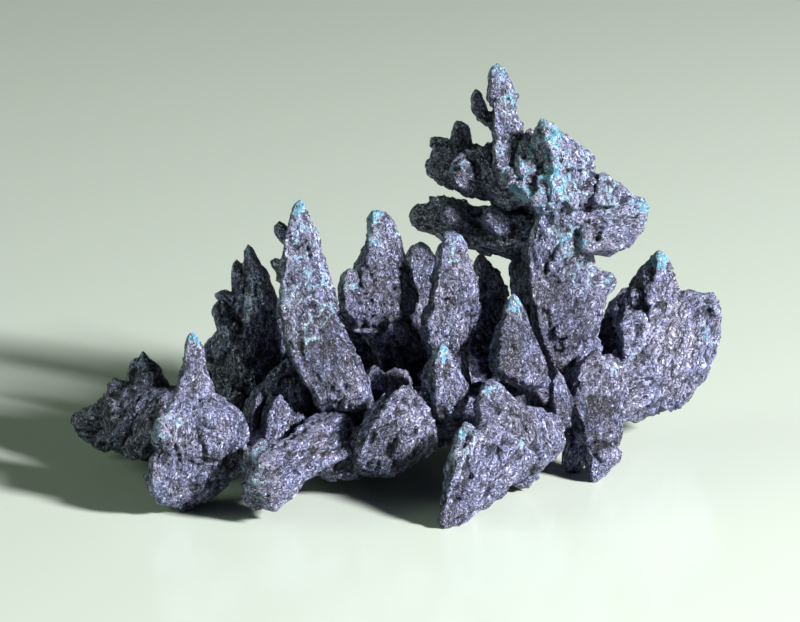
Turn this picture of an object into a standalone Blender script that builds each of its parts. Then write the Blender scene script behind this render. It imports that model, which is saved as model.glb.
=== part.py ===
"""Acanthite: a ridge of intergrown, rough, spiky crystals with a branching tower at its back.

Every crystal is laid out as it is seen from a standing viewpoint in front of the cluster, in millimetres:
each station along a crystal is (across, up, depth, half width, half thickness). A station with no width is
a point. The whole cluster grew together, so all of its crystals are joined in one solid.
"""

import math

import bmesh
import bpy
import numpy as np
from mathutils import Matrix, Vector

MM = 0.001

# The viewpoint: how far it is from the cluster, how far it looks down, and what it looks at.
VIEW_DISTANCE = 450.0
VIEW_PITCH = math.radians(18.0)
VIEW_HEIGHT = 17.8

# A crystal's outline, seen from its tip: (to the side that faces right or down, to the back), each in -1..1.
OUTLINES = {
    "usual": ((1.0, 0.1), (0.55, -0.72), (-0.62, -1.0), (-1.0, 0.15), (-0.5, 0.9), (0.55, 1.0)),
    "flat": ((1.0, 0.1), (0.6, -0.8), (-0.86, -0.96), (-1.0, 0.15), (-0.5, 0.9), (0.55, 1.0)),
    "ridged": ((1.0, 0.05), (0.62, -0.66), (-0.1, -1.0), (-1.0, 0.4), (-0.5, 0.9), (0.55, 1.0)),
    "sided": ((1.0, 0.1), (0.55, -0.75), (-0.5, -1.0), (-1.0, 0.3), (-0.5, 0.9), (0.55, 1.0)),
    "turned": ((1.0, 0.1), (0.85, -0.5), (0.32, -1.0), (-1.0, 0.45), (-0.5, 0.9), (0.55, 1.0)),
    "slanted": ((1.0, 0.35), (0.85, -0.2), (-0.86, -1.0), (-1.0, 0.15), (-0.5, 0.9), (0.55, 1.0)),
}
OUTLINE_OF = {
    "lobe_spike": "ridged", "crown_spike": "ridged", "wing_spike": "ridged", "back_left": "ridged",
    "column": "sided", "rounded_spike_shoulder": "sided", "front_spike": "sided",
    "corner_crystal": "sided", "wing": "turned", "outer_plate": "turned", "inner_plate": "turned",
    "fin_outer": "turned", "left_crystal": "flat", "tall_spike": "flat", "fin": "flat",
    "fin_lobe": "flat", "right_block": "slanted", "front_arm": "slanted", "lobe": "slanted",
    "right_arm": "slanted", "left_crystal_foot": "slanted",
}

STEEP = 0.7              # a crystal that runs sideways less than this share of its rise has level sections
OUTLINE_SPREAD = 0.07    # how far the corners of a crystal stray, as a share of its half width
STATION_SPREAD = 0.05    # the same, from one station to the next
FOOT_TRIM = 0.45         # worn off the lowest points, so that they stand on small flats
MERGE = 0.001            # corners nearer than this after a cut are one corner

RIDGE = {
    "ridge": [
        (-25.0, 5.6, 3.4, 2.6, 3.0), (-21.0, 5.8, 2.0, 3.0, 4.2), (-16.5, 5.6, 2.0, 2.8, 4.4),
        (-11.5, 5.4, 2.0, 2.8, 4.6), (-6.5, 5.6, 2.0, 2.9, 4.6), (-1.5, 6.0, 2.2, 2.9, 4.4),
        (3.0, 6.6, 2.4, 2.9, 4.4), (8.0, 7.0, 2.6, 2.8, 4.4), (12.5, 7.2, 3.6, 2.8, 4.2),
        (17.0, 8.0, 6.4, 2.8, 3.6), (21.0, 9.3, 9.0, 2.9, 3.6), (24.5, 11.0, 12.0, 3.0, 3.2),
    ],
    "column": [
        (16.5, 27.5, 7.0, 3.4, 3.9), (16.0, 25.0, 7.0, 4.0, 4.0), (15.4, 23.0, 7.0, 4.0, 3.9),
        (15.5, 21.0, 7.0, 4.4, 4.0), (15.9, 19.0, 6.6, 4.6, 4.0), (16.0, 17.0, 6.2, 4.3, 3.9),
        (16.1, 14.5, 6.0, 3.6, 3.6), (16.8, 12.0, 6.2, 2.7, 3.1), (17.7, 9.5, 7.0, 2.1, 2.8),
        (18.1, 7.5, 7.4, 2.5, 3.2),
    ],
    "column_plate_high": [
        (19.0, 24.2, 5.2, 0, 0), (18.2, 23.6, 4.8, 1.2, 0.9), (17.0, 22.6, 4.5, 1.9, 1.3),
        (15.8, 20.8, 4.4, 1.9, 1.3), (15.2, 19.4, 4.7, 1.0, 1.0), (15.0, 18.8, 5.0, 0, 0),
    ],
    "column_plate_low": [
        (19.6, 18.4, 4.8, 0, 0), (19.0, 17.8, 4.6, 1.1, 0.9), (18.0, 16.5, 4.0, 1.8, 1.3),
        (16.8, 14.6, 3.7, 1.9, 1.4), (16.3, 13.2, 3.8, 1.2, 1.1), (16.2, 12.4, 4.2, 0, 0),
    ],
}

LEFT_WING = {
    "wing": [
        (-32.9, 5.5, 5.5, 0, 0), (-32.5, 5.55, 5.4, 0.9, 0.8), (-31.5, 5.5, 5.1, 1.7, 1.5),
        (-30.0, 5.6, 4.8, 2.3, 2.2), (-28.8, 5.9, 4.4, 3.0, 2.8), (-27.4, 6.0, 4.0, 3.6, 3.2),
        (-25.0, 5.7, 3.2, 3.8, 4.0), (-21.5, 5.8, 2.0, 3.4, 4.6),
    ],
    "wing_spike": [
        (-25.7, 13.1, 4.5, 0, 0), (-25.7, 12.5, 4.5, 0.45, 0.45), (-25.6, 11.7, 4.4, 1.0, 1.1),
        (-25.5, 10.8, 4.3, 1.55, 1.7), (-25.3, 9.8, 4.1, 2.1, 2.2), (-25.0, 8.5, 3.9, 2.5, 2.6),
        (-24.8, 6.5, 3.5, 2.7, 3.0),
    ],
    "wing_shoulder": [
        (-28.6, 10.2, 4.6, 0, 0), (-28.3, 9.7, 4.6, 0.9, 0.9), (-27.8, 8.6, 4.4, 1.6, 1.6),
        (-27.2, 7.0, 4.0, 2.0, 2.2),
    ],
    "outer_plate": [
        (-25.6, 8.6, 2.6, 0, 0), (-26.4, 7.3, 1.6, 1.1, 1.3), (-27.8, 5.4, 1.2, 1.9, 1.8),
        (-29.4, 3.7, 1.8, 1.3, 1.3), (-30.2, 2.9, 2.2, 0, 0),
    ],
    "inner_plate": [
        (-23.4, 9.4, 0.8, 0, 0), (-24.0, 8.0, 0.0, 1.2, 1.4), (-25.2, 5.4, -0.8, 2.0, 2.2),
        (-26.3, 3.2, -0.4, 1.7, 1.7), (-26.9, 2.0, 0.2, 0, 0),
    ],
}

LEFT_FRONT = {
    "left_crystal": [
        (-20.8, 14.9, -6.0, 0, 0), (-20.75, 14.4, -6.0, 0.45, 0.45), (-20.7, 13.5, -6.1, 0.75, 0.7),
        (-20.6, 12.0, -6.3, 1.2, 1.2), (-20.55, 10.5, -6.6, 1.5, 1.5), (-20.5, 8.8, -7.0, 1.9, 1.9),
        (-20.1, 7.8, -7.4, 2.8, 2.6), (-19.7, 6.8, -7.7, 3.8, 3.1), (-19.9, 5.5, -8.1, 4.5, 3.5),
        (-20.0, 4.0, -8.5, 4.7, 3.6), (-20.0, 2.8, -8.7, 4.1, 3.3), (-20.2, 1.6, -8.6, 3.0, 2.5),
        (-20.2, 0.4, -8.4, 2.0, 1.8),
    ],
    "left_crystal_foot": [
        (-20.9, 3.4, -8.6, 3.0, 2.6), (-21.3, 2.0, -9.2, 3.8, 3.3), (-21.5, 0.2, -9.7, 4.0, 3.6),
        (-21.7, -1.1, -9.9, 3.3, 3.0), (-21.7, -2.3, -9.9, 1.7, 1.6), (-21.6, -3.2, -9.9, 0, 0),
    ],
    "left_crystal_heel": [
        (-17.6, 4.6, -7.4, 1.6, 1.6), (-17.5, 2.6, -7.6, 2.3, 2.2), (-17.9, 0.8, -7.8, 2.1, 2.2),
        (-18.6, -0.6, -8.0, 1.5, 1.7), (-19.2, -1.7, -8.2, 0.7, 0.8), (-19.4, -2.2, -8.2, 0, 0),
    ],
    "left_crystal_root": [
        (-20.0, 4.4, -8.0, 3.0, 2.2), (-19.4, 5.0, -4.6, 3.0, 2.5), (-18.6, 5.6, -0.6, 3.0, 2.8),
    ],
    "little_tooth": [
        (-16.5, 10.3, 0.4, 0, 0), (-16.5, 9.7, 0.4, 0.7, 0.7), (-16.7, 8.8, 0.2, 1.3, 1.2),
        (-16.7, 7.8, 0.0, 1.6, 1.6), (-16.6, 6.0, 0.0, 1.9, 2.0),
    ],
    "fin": [
        (-11.3, 12.3, -1.5, 0, 0), (-11.3, 11.5, -1.5, 0.7, 1.0), (-11.4, 10.0, -1.8, 1.8, 1.8),
        (-11.1, 8.5, -2.2, 2.3, 2.3), (-11.2, 7.0, -2.6, 2.7, 2.5), (-11.5, 5.5, -3.2, 2.5, 2.6),
        (-12.0, 4.0, -4.0, 2.1, 2.6),
    ],
    "fin_outer": [
        (-13.0, 10.3, -2.6, 0, 0), (-13.9, 9.2, -2.8, 0.6, 1.2), (-14.6, 8.0, -3.2, 0.9, 1.7),
        (-15.0, 6.4, -3.6, 0.9, 2.0), (-15.0, 4.8, -4.0, 0.9, 2.2),
    ],
    "fin_knob": [
        (-12.0, 8.7, -5.2, 0, 0), (-12.1, 8.0, -5.4, 0.7, 0.8), (-12.05, 6.8, -5.8, 1.3, 1.3),
        (-12.3, 5.5, -6.2, 1.4, 1.5), (-12.6, 4.2, -6.6, 1.3, 1.6), (-12.8, 3.2, -6.8, 1.0, 1.6),
    ],
    "fin_lobe": [
        (-14.6, -2.7, -13.2, 0, 0), (-13.9, -1.3, -13.0, 2.2, 1.9), (-12.7, 0.4, -12.2, 2.7, 2.4),
        (-11.2, 1.9, -10.8, 2.3, 2.3), (-9.3, 3.1, -8.7, 2.2, 2.2), (-7.2, 4.2, -6.0, 2.5, 2.5),
        (-4.4, 5.4, -2.4, 2.9, 3.0),
    ],
    "fin_lobe_base": [
        (-9.4, 2.4, -6.2, 0, 0), (-8.7, 2.1, -6.0, 1.2, 1.2), (-7.2, 1.9, -5.6, 1.9, 1.8),
        (-5.4, 2.1, -5.0, 2.1, 2.1), (-3.4, 2.8, -4.4, 2.2, 2.3),
    ],
    "fin_lobe_tip": [
        (-13.2, 4.1, -9.6, 0, 0), (-13.3, 3.5, -9.9, 1.5, 1.2), (-13.2, 2.5, -10.4, 2.5, 1.8),
        (-13.2, 1.0, -11.0, 2.7, 2.1), (-13.6, -0.5, -11.5, 2.4, 2.0), (-13.9, -1.8, -11.9, 1.8, 1.5),
        (-14.0, -2.9, -12.2, 0, 0),
    ],
    "fin_lobe_crest": [
        (-7.4, 8.0, -1.8, 0, 0), (-7.3, 7.3, -1.9, 0.9, 0.9), (-7.2, 6.2, -2.1, 1.6, 1.5),
        (-7.0, 4.5, -2.4, 2.0, 1.9), (-6.9, 3.0, -2.8, 2.1, 2.1), (-6.9, 1.8, -3.0, 1.6, 1.8),
        (-7.0, 1.0, -3.0, 0, 0),
    ],
    "back_left": [
        (-15.2, 23.8, 2.5, 0, 0), (-15.1, 23.0, 2.5, 0.5, 0.5), (-14.85, 21.8, 2.5, 0.85, 0.9),
        (-14.5, 20.6, 2.5, 1.25, 1.3), (-14.4, 19.4, 2.6, 1.75, 1.7), (-14.6, 18.0, 2.6, 2.4, 2.3),
        (-14.95, 15.5, 2.8, 3.0, 2.8), (-15.5, 13.5, 3.2, 4.0, 3.0), (-15.4, 11.0, 3.4, 4.1, 3.2),
        (-15.2, 8.0, 3.0, 4.1, 3.8),
    ],
    "back_left_nub": [
        (-16.3, 22.2, 3.0, 0, 0), (-16.3, 21.6, 3.0, 0.5, 0.5), (-16.2, 20.4, 2.9, 0.7, 0.7),
        (-15.9, 19.0, 2.6, 0.9, 1.0), (-15.4, 17.4, 2.2, 1.2, 1.4),
    ],
    "back_left_knob": [
        (-18.6, 18.6, 2.4, 0, 0), (-18.2, 18.6, 2.4, 0.5, 0.5), (-17.7, 18.6, 2.3, 0.6, 0.6),
        (-17.0, 18.2, 2.2, 0.6, 0.6), (-16.0, 17.3, 2.0, 0.9, 1.0),
    ],
    "back_left_lobe": [
        (-18.0, 18.1, 2.2, 0, 0), (-18.0, 17.5, 2.1, 0.7, 0.8), (-17.8, 16.6, 2.0, 0.95, 1.0),
        (-17.2, 15.6, 1.9, 1.1, 1.2), (-16.4, 14.4, 1.8, 1.6, 1.6),
    ],
}

MIDDLE = {
    "tall_spike": [
        (-10.0, 28.2, -1.5, 0, 0), (-10.0, 27.5, -1.5, 0.5, 0.5), (-9.9, 26.4, -1.5, 0.95, 0.9),
        (-9.8, 24.9, -1.6, 1.45, 1.35), (-9.7, 23.2, -1.7, 1.85, 1.8), (-9.7, 21.6, -1.9, 2.05, 2.1),
        (-9.5, 20.0, -2.1, 2.3, 2.4), (-9.3, 18.0, -2.5, 2.65, 2.6), (-8.8, 16.0, -2.9, 2.95, 2.9),
        (-8.2, 14.0, -3.3, 3.2, 3.0), (-7.4, 12.0, -3.6, 3.2, 3.0), (-6.4, 10.0, -3.8, 3.2, 3.0),
        (-5.6, 8.4, -3.5, 3.0, 2.8), (-5.2, 7.0, -2.6, 2.8, 2.6), (-5.0, 5.8, -1.2, 2.4, 2.4),
    ],
    "tall_spike_root": [
        (-6.6, 11.0, -2.6, 2.2, 2.2), (-5.8, 9.0, -0.8, 2.6, 2.6), (-5.4, 7.4, 1.0, 2.8, 2.8),
    ],
    "tall_spike_knob": [
        (-12.0, 25.9, -0.8, 0, 0), (-12.0, 25.4, -0.8, 0.6, 0.6), (-11.8, 24.8, -0.9, 0.75, 0.8),
        (-11.4, 24.0, -1.1, 0.7, 0.8), (-10.6, 23.2, -1.4, 0.9, 1.0),
    ],
    "tall_spike_bead": [
        (-13.0, 21.9, -0.9, 0, 0), (-12.6, 21.8, -0.9, 0.5, 0.5), (-12.0, 21.4, -1.1, 0.6, 0.7),
        (-11.2, 21.0, -1.4, 0.8, 0.9),
    ],
    "tall_spike_wart": [
        (-12.4, 20.0, -1.2, 0, 0), (-12.1, 20.3, -1.2, 0.5, 0.5), (-11.6, 20.4, -1.4, 0.6, 0.7),
        (-10.8, 20.4, -1.7, 0.8, 0.9),
    ],
    "rounded_spike": [
        (-2.3, 27.2, 4.2, 0, 0), (-2.2, 26.9, 4.2, 0.8, 0.8), (-1.9, 26.0, 4.2, 1.3, 1.2),
        (-1.6, 24.5, 4.2, 1.85, 1.6), (-1.7, 23.0, 4.1, 2.1, 1.9), (-1.7, 21.5, 4.0, 2.5, 2.2),
        (-1.7, 20.0, 3.8, 3.0, 2.6), (-1.8, 18.5, 3.6, 3.3, 2.9), (-1.9, 17.0, 3.4, 3.2, 2.9),
        (-2.0, 15.8, 3.4, 2.6, 2.5), (-2.2, 15.0, 3.6, 1.5, 1.6), (-1.6, 13.4, 4.8, 1.5, 2.0),
        (-0.8, 11.0, 5.6, 2.2, 3.0),
    ],
    "rounded_spike_shoulder": [
        (-5.0, 21.3, 2.4, 0, 0), (-5.05, 20.7, 2.3, 0.7, 0.7), (-4.95, 19.5, 2.1, 1.3, 1.2),
        (-4.7, 18.2, 1.9, 1.8, 1.5), (-4.3, 17.0, 1.8, 2.0, 1.7), (-3.8, 16.0, 2.0, 1.8, 1.6),
        (-3.4, 15.2, 2.5, 1.1, 1.2), (-3.2, 14.7, 3.0, 0, 0),
    ],
    "rounded_spike_drop": [
        (-0.3, 16.4, 2.6, 0, 0), (-0.3, 15.6, 2.4, 1.0, 1.0), (-0.3, 14.6, 2.3, 1.4, 1.3),
        (-0.4, 13.8, 2.5, 1.0, 1.0), (-0.4, 13.3, 2.9, 0, 0),
    ],
    "rubble_left": [
        (-2.6, 11.6, -0.4, 0, 0), (-2.6, 11.1, -0.5, 0.7, 0.7), (-2.5, 10.2, -0.8, 1.2, 1.1),
        (-2.5, 9.0, -0.8, 1.5, 1.5),
    ],
    "rubble_right": [
        (-0.1, 11.3, 0, 0, 0), (-0.1, 10.8, -0.1, 1.0, 0.9), (-0.2, 10.0, -0.4, 1.5, 1.2),
        (-0.2, 8.8, -0.6, 1.7, 1.6),
    ],
    "back_wall": [
        (-9.5, 10.8, 4.0, 3.0, 2.8), (-4.5, 12.2, 6.0, 3.2, 2.8), (0.5, 12.5, 7.4, 3.2, 2.8),
        (5.5, 12.0, 9.2, 3.0, 2.8), (11.0, 11.8, 9.6, 3.2, 3.0), (14.5, 11.8, 8.4, 3.0, 3.0),
    ],
    "gap_spike": [
        (2.0, 23.9, 9.5, 0, 0), (2.0, 23.4, 9.5, 0.85, 0.9), (2.1, 22.4, 9.4, 1.3, 1.3),
        (2.2, 20.5, 9.0, 1.4, 1.6), (2.1, 17.0, 8.4, 1.8, 2.2), (2.0, 12.0, 7.0, 2.6, 3.2),
    ],
    "straight_spike": [
        (5.3, 24.9, 1.5, 0, 0), (5.3, 24.5, 1.5, 0.85, 0.8), (5.4, 23.7, 1.5, 1.3, 1.2),
        (5.4, 22.2, 1.4, 1.7, 1.6), (5.4, 20.5, 1.2, 2.1, 1.9), (5.3, 18.8, 1.0, 2.4, 2.2),
        (5.15, 17.0, 0.8, 2.65, 2.4), (4.85, 15.2, 0.5, 2.85, 2.6), (4.7, 13.7, 0.3, 2.6, 2.4),
        (4.7, 12.6, 0.4, 1.8, 2.0), (5.0, 11.0, 1.4, 1.9, 2.4), (5.2, 8.5, 2.4, 2.6, 3.0),
    ],
    "shadow_spike": [
        (7.9, 22.6, 8.4, 0, 0), (8.2, 21.8, 8.4, 0.9, 0.9), (8.7, 20.4, 8.8, 1.5, 1.5),
        (8.9, 18.0, 9.4, 1.9, 2.0), (9.0, 14.5, 10.0, 2.3, 2.4), (9.2, 10.5, 9.6, 2.8, 3.0),
    ],
    "lit_spike": [
        (11.4, 18.8, -0.4, 0, 0), (11.4, 18.2, -0.4, 0.5, 0.5), (11.45, 16.8, -0.6, 1.2, 1.1),
        (11.5, 15.0, -0.9, 1.95, 1.7), (11.6, 13.0, -1.3, 2.6, 2.1), (11.8, 11.3, -1.6, 2.95, 2.4),
        (12.2, 10.3, -1.7, 2.5, 2.2), (12.9, 9.6, -1.6, 1.5, 1.5), (13.2, 9.2, -1.4, 0, 0),
    ],
    "lit_spike_root": [
        (11.8, 12.2, 0.6, 1.6, 1.6), (12.4, 10.2, 2.6, 2.0, 2.0), (12.8, 8.0, 4.0, 2.6, 2.6),
    ],
    "front_spike": [
        (4.2, 13.7, -5.0, 0, 0), (4.2, 13.1, -5.0, 0.5, 0.5), (4.15, 11.8, -5.0, 1.25, 1.2),
        (4.35, 10.5, -4.9, 1.85, 1.6), (4.6, 9.3, -4.8, 2.4, 2.0), (4.7, 8.2, -4.5, 2.4, 2.1),
        (4.5, 7.2, -4.2, 1.8, 1.9), (4.3, 6.4, -3.9, 1.2, 1.5), (4.3, 5.8, -3.6, 0, 0),
    ],
    "front_spike_root": [
        (5.0, 8.4, -3.0, 2.0, 2.0), (5.0, 7.6, -1.0, 2.2, 2.2), (5.0, 7.2, 1.0, 2.4, 2.4),
    ],
    "front_middle": [
        (0.4, 9.7, -7.0, 0, 0), (0.4, 9.2, -7.0, 0.7, 0.7), (0.2, 8.3, -7.0, 1.7, 1.5),
        (0.2, 7.3, -7.0, 2.5, 2.0), (-0.2, 6.2, -7.0, 3.2, 2.4), (-0.7, 4.8, -6.9, 4.0, 2.8),
        (-0.9, 3.4, -6.6, 4.4, 2.9), (-1.5, 2.2, -6.2, 3.9, 2.7), (-2.2, 1.2, -5.8, 3.0, 2.1),
        (-2.8, 0.2, -5.5, 0, 0),
    ],
    "front_middle_twin": [
        (-1.6, 8.9, -6.6, 0, 0), (-1.6, 8.3, -6.6, 0.6, 0.6), (-1.7, 7.2, -6.5, 1.3, 1.3),
        (-2.0, 5.8, -6.3, 1.8, 1.8), (-2.4, 4.4, -6.0, 2.1, 2.2),
    ],
    "front_middle_root": [
        (-0.8, 5.0, -5.0, 2.8, 2.4), (-0.6, 5.4, -2.6, 2.8, 2.6), (-0.4, 6.0, 0.0, 2.8, 2.8),
    ],
}

RIGHT_FRONT = {
    "right_block": [
        (9.0, 10.2, -5.4, 0, 0), (9.2, 9.5, -5.4, 0.75, 0.7), (9.5, 8.5, -5.5, 1.7, 1.5),
        (10.2, 7.3, -5.7, 2.8, 2.2), (11.5, 6.2, -5.8, 4.2, 2.8), (12.1, 5.0, -5.9, 4.5, 3.1),
        (12.2, 3.5, -5.7, 4.2, 3.2), (12.0, 2.2, -5.4, 3.5, 2.9), (11.8, 1.0, -5.1, 2.4, 2.2),
        (12.0, 0.0, -4.9, 1.3, 1.4), (12.3, -0.9, -4.7, 0, 0),
    ],
    "right_block_root": [
        (13.0, 4.4, -4.0, 2.8, 2.4), (13.6, 4.8, -1.4, 2.6, 2.6), (14.2, 5.6, 1.6, 2.8, 2.8),
    ],
    "front_arm": [
        (4.5, -4.9, -14.6, 0, 0), (5.1, -3.8, -13.9, 1.3, 1.3), (6.2, -2.0, -12.5, 2.0, 1.9),
        (7.7, 0.3, -10.6, 2.7, 2.5), (9.4, 2.4, -8.6, 3.2, 2.9), (11.4, 4.2, -6.6, 3.2, 3.2),
    ],
    "front_arm_tip": [
        (6.5, 5.9, -9.5, 0, 0), (6.5, 5.3, -9.6, 0.65, 0.7), (6.7, 4.0, -10.0, 1.5, 1.4),
        (7.0, 2.5, -10.6, 2.0, 1.8), (6.7, 0.5, -11.4, 2.1, 1.9), (6.2, -1.5, -12.4, 2.0, 1.8),
        (5.4, -3.2, -13.5, 1.6, 1.5), (4.8, -4.2, -14.2, 1.1, 1.1), (4.6, -5.0, -14.7, 0, 0),
    ],
    "dark_knob": [
        (17.5, 4.6, 1.6, 0, 0), (17.5, 4.0, 1.6, 1.0, 1.0), (17.5, 3.0, 1.6, 1.4, 1.4),
        (17.4, 1.9, 1.5, 1.3, 1.3), (17.3, 1.1, 1.4, 0.8, 0.9), (17.2, 0.6, 1.3, 0, 0),
    ],
    "dark_knob_root": [
        (17.5, 3.4, 1.8, 0.9, 0.9), (17.3, 4.8, 2.8, 1.3, 1.4), (17.2, 6.6, 4.0, 2.0, 2.4),
    ],
    "little_spike": [
        (15.8, 11.1, -1.0, 0, 0), (15.85, 10.3, -1.0, 0.5, 0.55), (16.0, 9.2, -1.0, 0.95, 1.0),
        (16.15, 8.0, -1.0, 1.15, 1.2), (16.3, 6.8, -0.7, 1.15, 1.3), (16.4, 5.4, 0.6, 1.3, 2.0),
    ],
    "corner_crystal": [
        (20.0, 12.5, 3.0, 0, 0), (19.9, 12.3, 3.0, 0.9, 1.0), (19.7, 11.7, 3.0, 2.1, 1.7),
        (19.5, 10.5, 2.7, 2.9, 2.4), (19.4, 9.0, 2.3, 3.15, 2.8), (19.4, 7.5, 1.7, 3.2, 3.0),
        (19.6, 6.0, 0.9, 2.9, 2.6), (19.9, 4.8, 0.3, 2.4, 2.1), (20.1, 3.5, -0.2, 1.7, 1.6),
        (20.0, 2.0, -0.7, 1.6, 1.4), (19.8, 1.0, -1.0, 1.1, 1.0), (19.5, 0.2, -1.3, 0.6, 0.6),
        (19.4, -0.5, -1.6, 0, 0),
    ],
    "corner_root": [
        (19.6, 8.0, 3.5, 2.2, 2.6), (19.2, 8.4, 5.8, 2.6, 2.8), (18.4, 8.6, 8.0, 3.0, 3.0),
    ],
}

RIGHT_LOBE = {
    "lobe_spike": [
        (25.8, 23.1, 13.2, 0, 0), (25.8, 22.6, 13.2, 0.7, 0.8), (25.8, 21.5, 13.1, 1.15, 1.3),
        (25.7, 20.5, 13.0, 1.6, 1.7), (25.4, 19.3, 12.9, 2.3, 2.1), (25.4, 18.0, 12.8, 3.2, 2.3),
        (25.6, 16.5, 12.9, 3.8, 2.4), (25.8, 15.0, 13.0, 3.6, 2.4),
    ],
    "lobe": [
        (28.4, 18.7, 13.8, 3.2, 1.2), (27.0, 18.0, 13.6, 4.8, 2.0), (26.7, 16.3, 13.2, 5.3, 2.9),
        (26.8, 14.5, 12.6, 5.2, 3.6), (26.8, 13.0, 12.2, 5.0, 3.9), (26.5, 11.5, 11.8, 4.8, 4.0),
        (26.3, 10.2, 11.4, 4.3, 3.8), (25.6, 9.0, 11.1, 3.7, 3.3), (25.2, 7.9, 10.9, 3.0, 2.7),
        (24.2, 6.8, 10.6, 1.9, 1.9), (23.5, 5.9, 10.4, 0, 0),
    ],
    "lobe_drip": [
        (27.5, 6.8, 11.6, 0, 0), (27.5, 7.4, 11.6, 0.8, 0.8), (27.4, 8.6, 11.8, 1.3, 1.3),
        (27.2, 10.0, 12.0, 1.6, 1.8),
    ],
    "lobe_shoulder": [
        (20.4, 16.7, 13.2, 0, 0), (21.2, 17.1, 13.0, 0.8, 1.0), (22.6, 17.6, 12.8, 1.3, 1.7),
        (24.6, 18.0, 12.9, 1.6, 2.0),
    ],
    "lobe_wall": [
        (24.2, 16.0, 16.8, 2.0, 2.0), (21.6, 14.4, 15.8, 2.6, 2.4), (18.6, 13.4, 12.4, 3.0, 3.0),
        (16.8, 12.8, 8.6, 3.0, 3.0),
    ],
    "lobe_root": [
        (25.6, 11.2, 12.4, 3.8, 3.0), (22.6, 9.4, 9.0, 3.4, 3.4), (19.5, 8.4, 5.0, 3.2, 3.4),
    ],
}

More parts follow.
